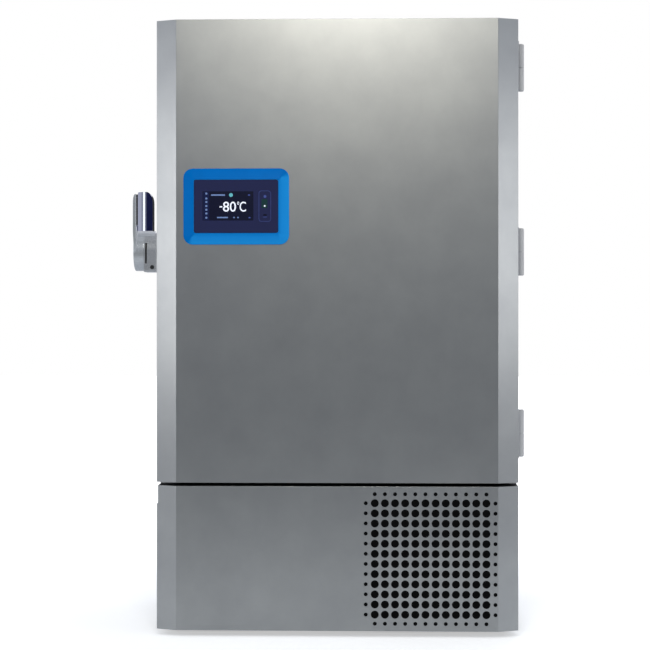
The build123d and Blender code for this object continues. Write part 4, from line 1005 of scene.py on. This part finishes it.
# %% Foam behind the louvres
entry_low, entry_high = extent("power_entry")
for name, x in (("left_dust_mat", (-556, -46)), ("right_dust_mat", (46, 556))):
    mat = brick(name, x, (grille_low.y - 4, grille_low.y - 0.4), (grille_low.z + 18, grille_high.z - 6))
    if x[1] < 0:
        carve(mat, brick("notch", (entry_low.x - 4, 0), (grille_low.y - 9, grille_low.y + 5),
                         (entry_low.z - 4, entry_high.z + 4)))
    belongs(done(soften(mat, 1.2), black_foam), "machine_rear_grille")

# %% Power entry
softened("power_entry", 1.0)
softened("power_rocker", 0.8)

# %% [markdown]
# The freezer stands on four casters and has two levelling feet. Forks and feet are zinc plated
# steel. The wheels have a polyurethane tyre on a nylon hub, so the faces near the axle get nylon.

# %% Casters and feet
HUB_OUT = 34  # where the tyre starts
for node in ("left_front_caster_fork", "right_front_caster_fork", "rear_caster_forks",
             "left_levelling_foot", "right_levelling_foot"):
    softened(node, 1.0)
for node in ("left_front_wheel", "right_front_wheel", "left_rear_wheel", "right_rear_wheel"):
    wheel = softened(node, 1.0)
    low, high = extent(node)
    axle = (low + high) / 2
    second_finish(wheel, black_nylon_and_painted_shade, lambda p, n: math.hypot(p.y - axle.y, p.z - axle.z) < HUB_OUT)

# %% [markdown]
# Opening the lower panel shows the machine room: an air filter in front of the condenser, the
# battery beside it, and the two compressors of the cascade behind. The filter is a mat in an
# aluminium frame under a wire grid. Its front is inset, sunk and given the mat's material, and the
# grid is two arrays of wires laid across each other.

# %% Air filter
filter_low, filter_high = extent("air_filter")
FRAME_W, SUNK, WIRE_PITCH, WIRE_R, WIRE_IN = 14.0, 5, 24.0, 0.9, 16
air_filter = copy_of("air_filter")
pick(air_filter, faces=lambda p, n: n.y < -0.9 and p.y < filter_low.y + 1)
inset(FRAME_W)
extrude((0, SUNK * MM, 0))
done(soften(air_filter, 0.8), aluminium)
second_finish(air_filter, filter_mat, lambda p, n: n.y < -0.9 and p.y > filter_low.y + 3)
stand_in(air_filter, "air_filter")
left, right = filter_low.x + FRAME_W, filter_high.x - FRAME_W
lower, upper = filter_low.z + FRAME_W, filter_high.z - FRAME_W
wire_x, wire_y, wire_z = left + WIRE_IN, filter_low.y + 3.4, lower + WIRE_IN
upright = bar("wires_upright", WIRE_R, (wire_x, wire_y, lower - 1), (wire_x, wire_y, upper + 1), 8)
repeat(upright, int((right - left - 20) / WIRE_PITCH) + 1, (WIRE_PITCH, 0, 0))
wire_y += 1.2
crossing = bar("wires_level", WIRE_R, (left - 1, wire_y, wire_z), (right + 1, wire_y, wire_z), 8)
repeat(crossing, int((upper - lower - 20) / WIRE_PITCH) + 1, (0, 0, WIRE_PITCH))
belongs(done(join("filter_wires", upright, crossing), zinc_plate), "air_filter")

# %% [markdown]
# The condenser is a block of thin aluminium fins, 2.5 mm apart. Too fine to model, they are bands
# of light and shade across its width. The compressors' shells are drawn steel in thick black
# enamel and the pipes are drawn copper. Both need only their few sharp rims softened.

# %% Condenser fins
FIN_PITCH = 2.5
fin_pack = finish_of("condenser_fin_pack", "#B9BCBE", "#A9ACAE", (0.35, 0.5), 1.0, grain=4.0)
tree = fin_pack.node_tree
bands = put(tree, "ShaderNodeTexWave", {"wave_type": "BANDS", "bands_direction": "X", "wave_profile": "SAW",
                                        "Scale": 1 / (FIN_PITCH * MM) / 20 * math.pi, "Distortion": 0.0},
            {"Vector": put(tree, "ShaderNodeTexCoord").outputs["Object"]})
tree.links.new(ramp(tree, bands.outputs["Fac"], (0.25, "#202224"), (0.6, "#C2C5C7")),
               tree.nodes["Principled BSDF"].inputs["Base Color"])

# %% The rest of the machine room
softened("condenser", 0.8, finish=fin_pack)
for node, radius in (("fan_shroud", 1.0), ("fan_impeller", 0.5), ("fan_motor", 1.5), ("backup_battery", 1.5),
                     ("control_box", 1.5), ("interstage_heat_exchanger", 2.0), ("compressor_grommets", 1.5),
                     ("fascia_hinge_brackets", 0.8), ("latch_hook", 0.8), ("latch_strike", 0.8)):
    softened(node, radius)
for node in ("high_stage_compressor", "low_stage_compressor"):
    softened(node, 0.8, angle=50, smooth=50)
lines = softened("refrigerant_lines", 0.4, angle=60, smooth=60)
second_finish(lines, black_rubber, lambda p, n: p.x > 400)  # the run beside the condenser is sleeved
box_low, box_high = extent("control_box")
screw_heads("control_box_screws", "control_box",
            grid((box_low.x + 10, box_high.x - 10), box_low.y - 40, (box_low.z + 12, box_high.z - 12)),
            (0, 1, 0), 3.5)

# %% [markdown]
# With the outer door open the cold box shows: a soft grey gasket on the door, a moulded white
# collar round the mouth, and four insulated inner doors. Each inner door's front is one moulding
# with a raised field, made by an inset that is lifted a little.

# %% Door lining and gasket
softened("door_gasket", 3.0, segments=3)
softened("door_inner_panel", 4.0, segments=4)
softened("breaker_collar", 3.0, segments=3)

# %% Inner doors
FIELD_IN, FIELD_EDGE, FIELD_UP = 26, 5, 2.5  # width of the flat rim and of the slope, and its rise
for number in (1, 2, 3, 4):
    node = f"inner_door_{number}"
    low, high = extent(node)
    leaf = copy_of(node)
    pick(leaf, faces=lambda p, n: n.y < -0.9 and p.y < low.y + 0.5)
    inset(FIELD_IN)
    inset(FIELD_EDGE, -FIELD_UP)
    stand_in(done(soften(leaf, 1.5, segments=3), white_abs), node)

# %% Shelves, pilasters and small fittings
for node, radius in (("storage_shelves", 1.5), ("shelf_supports", 0.8), ("inner_door_hinges", 0.8),
                     ("inner_door_catches", 1.0)):
    softened(node, radius)
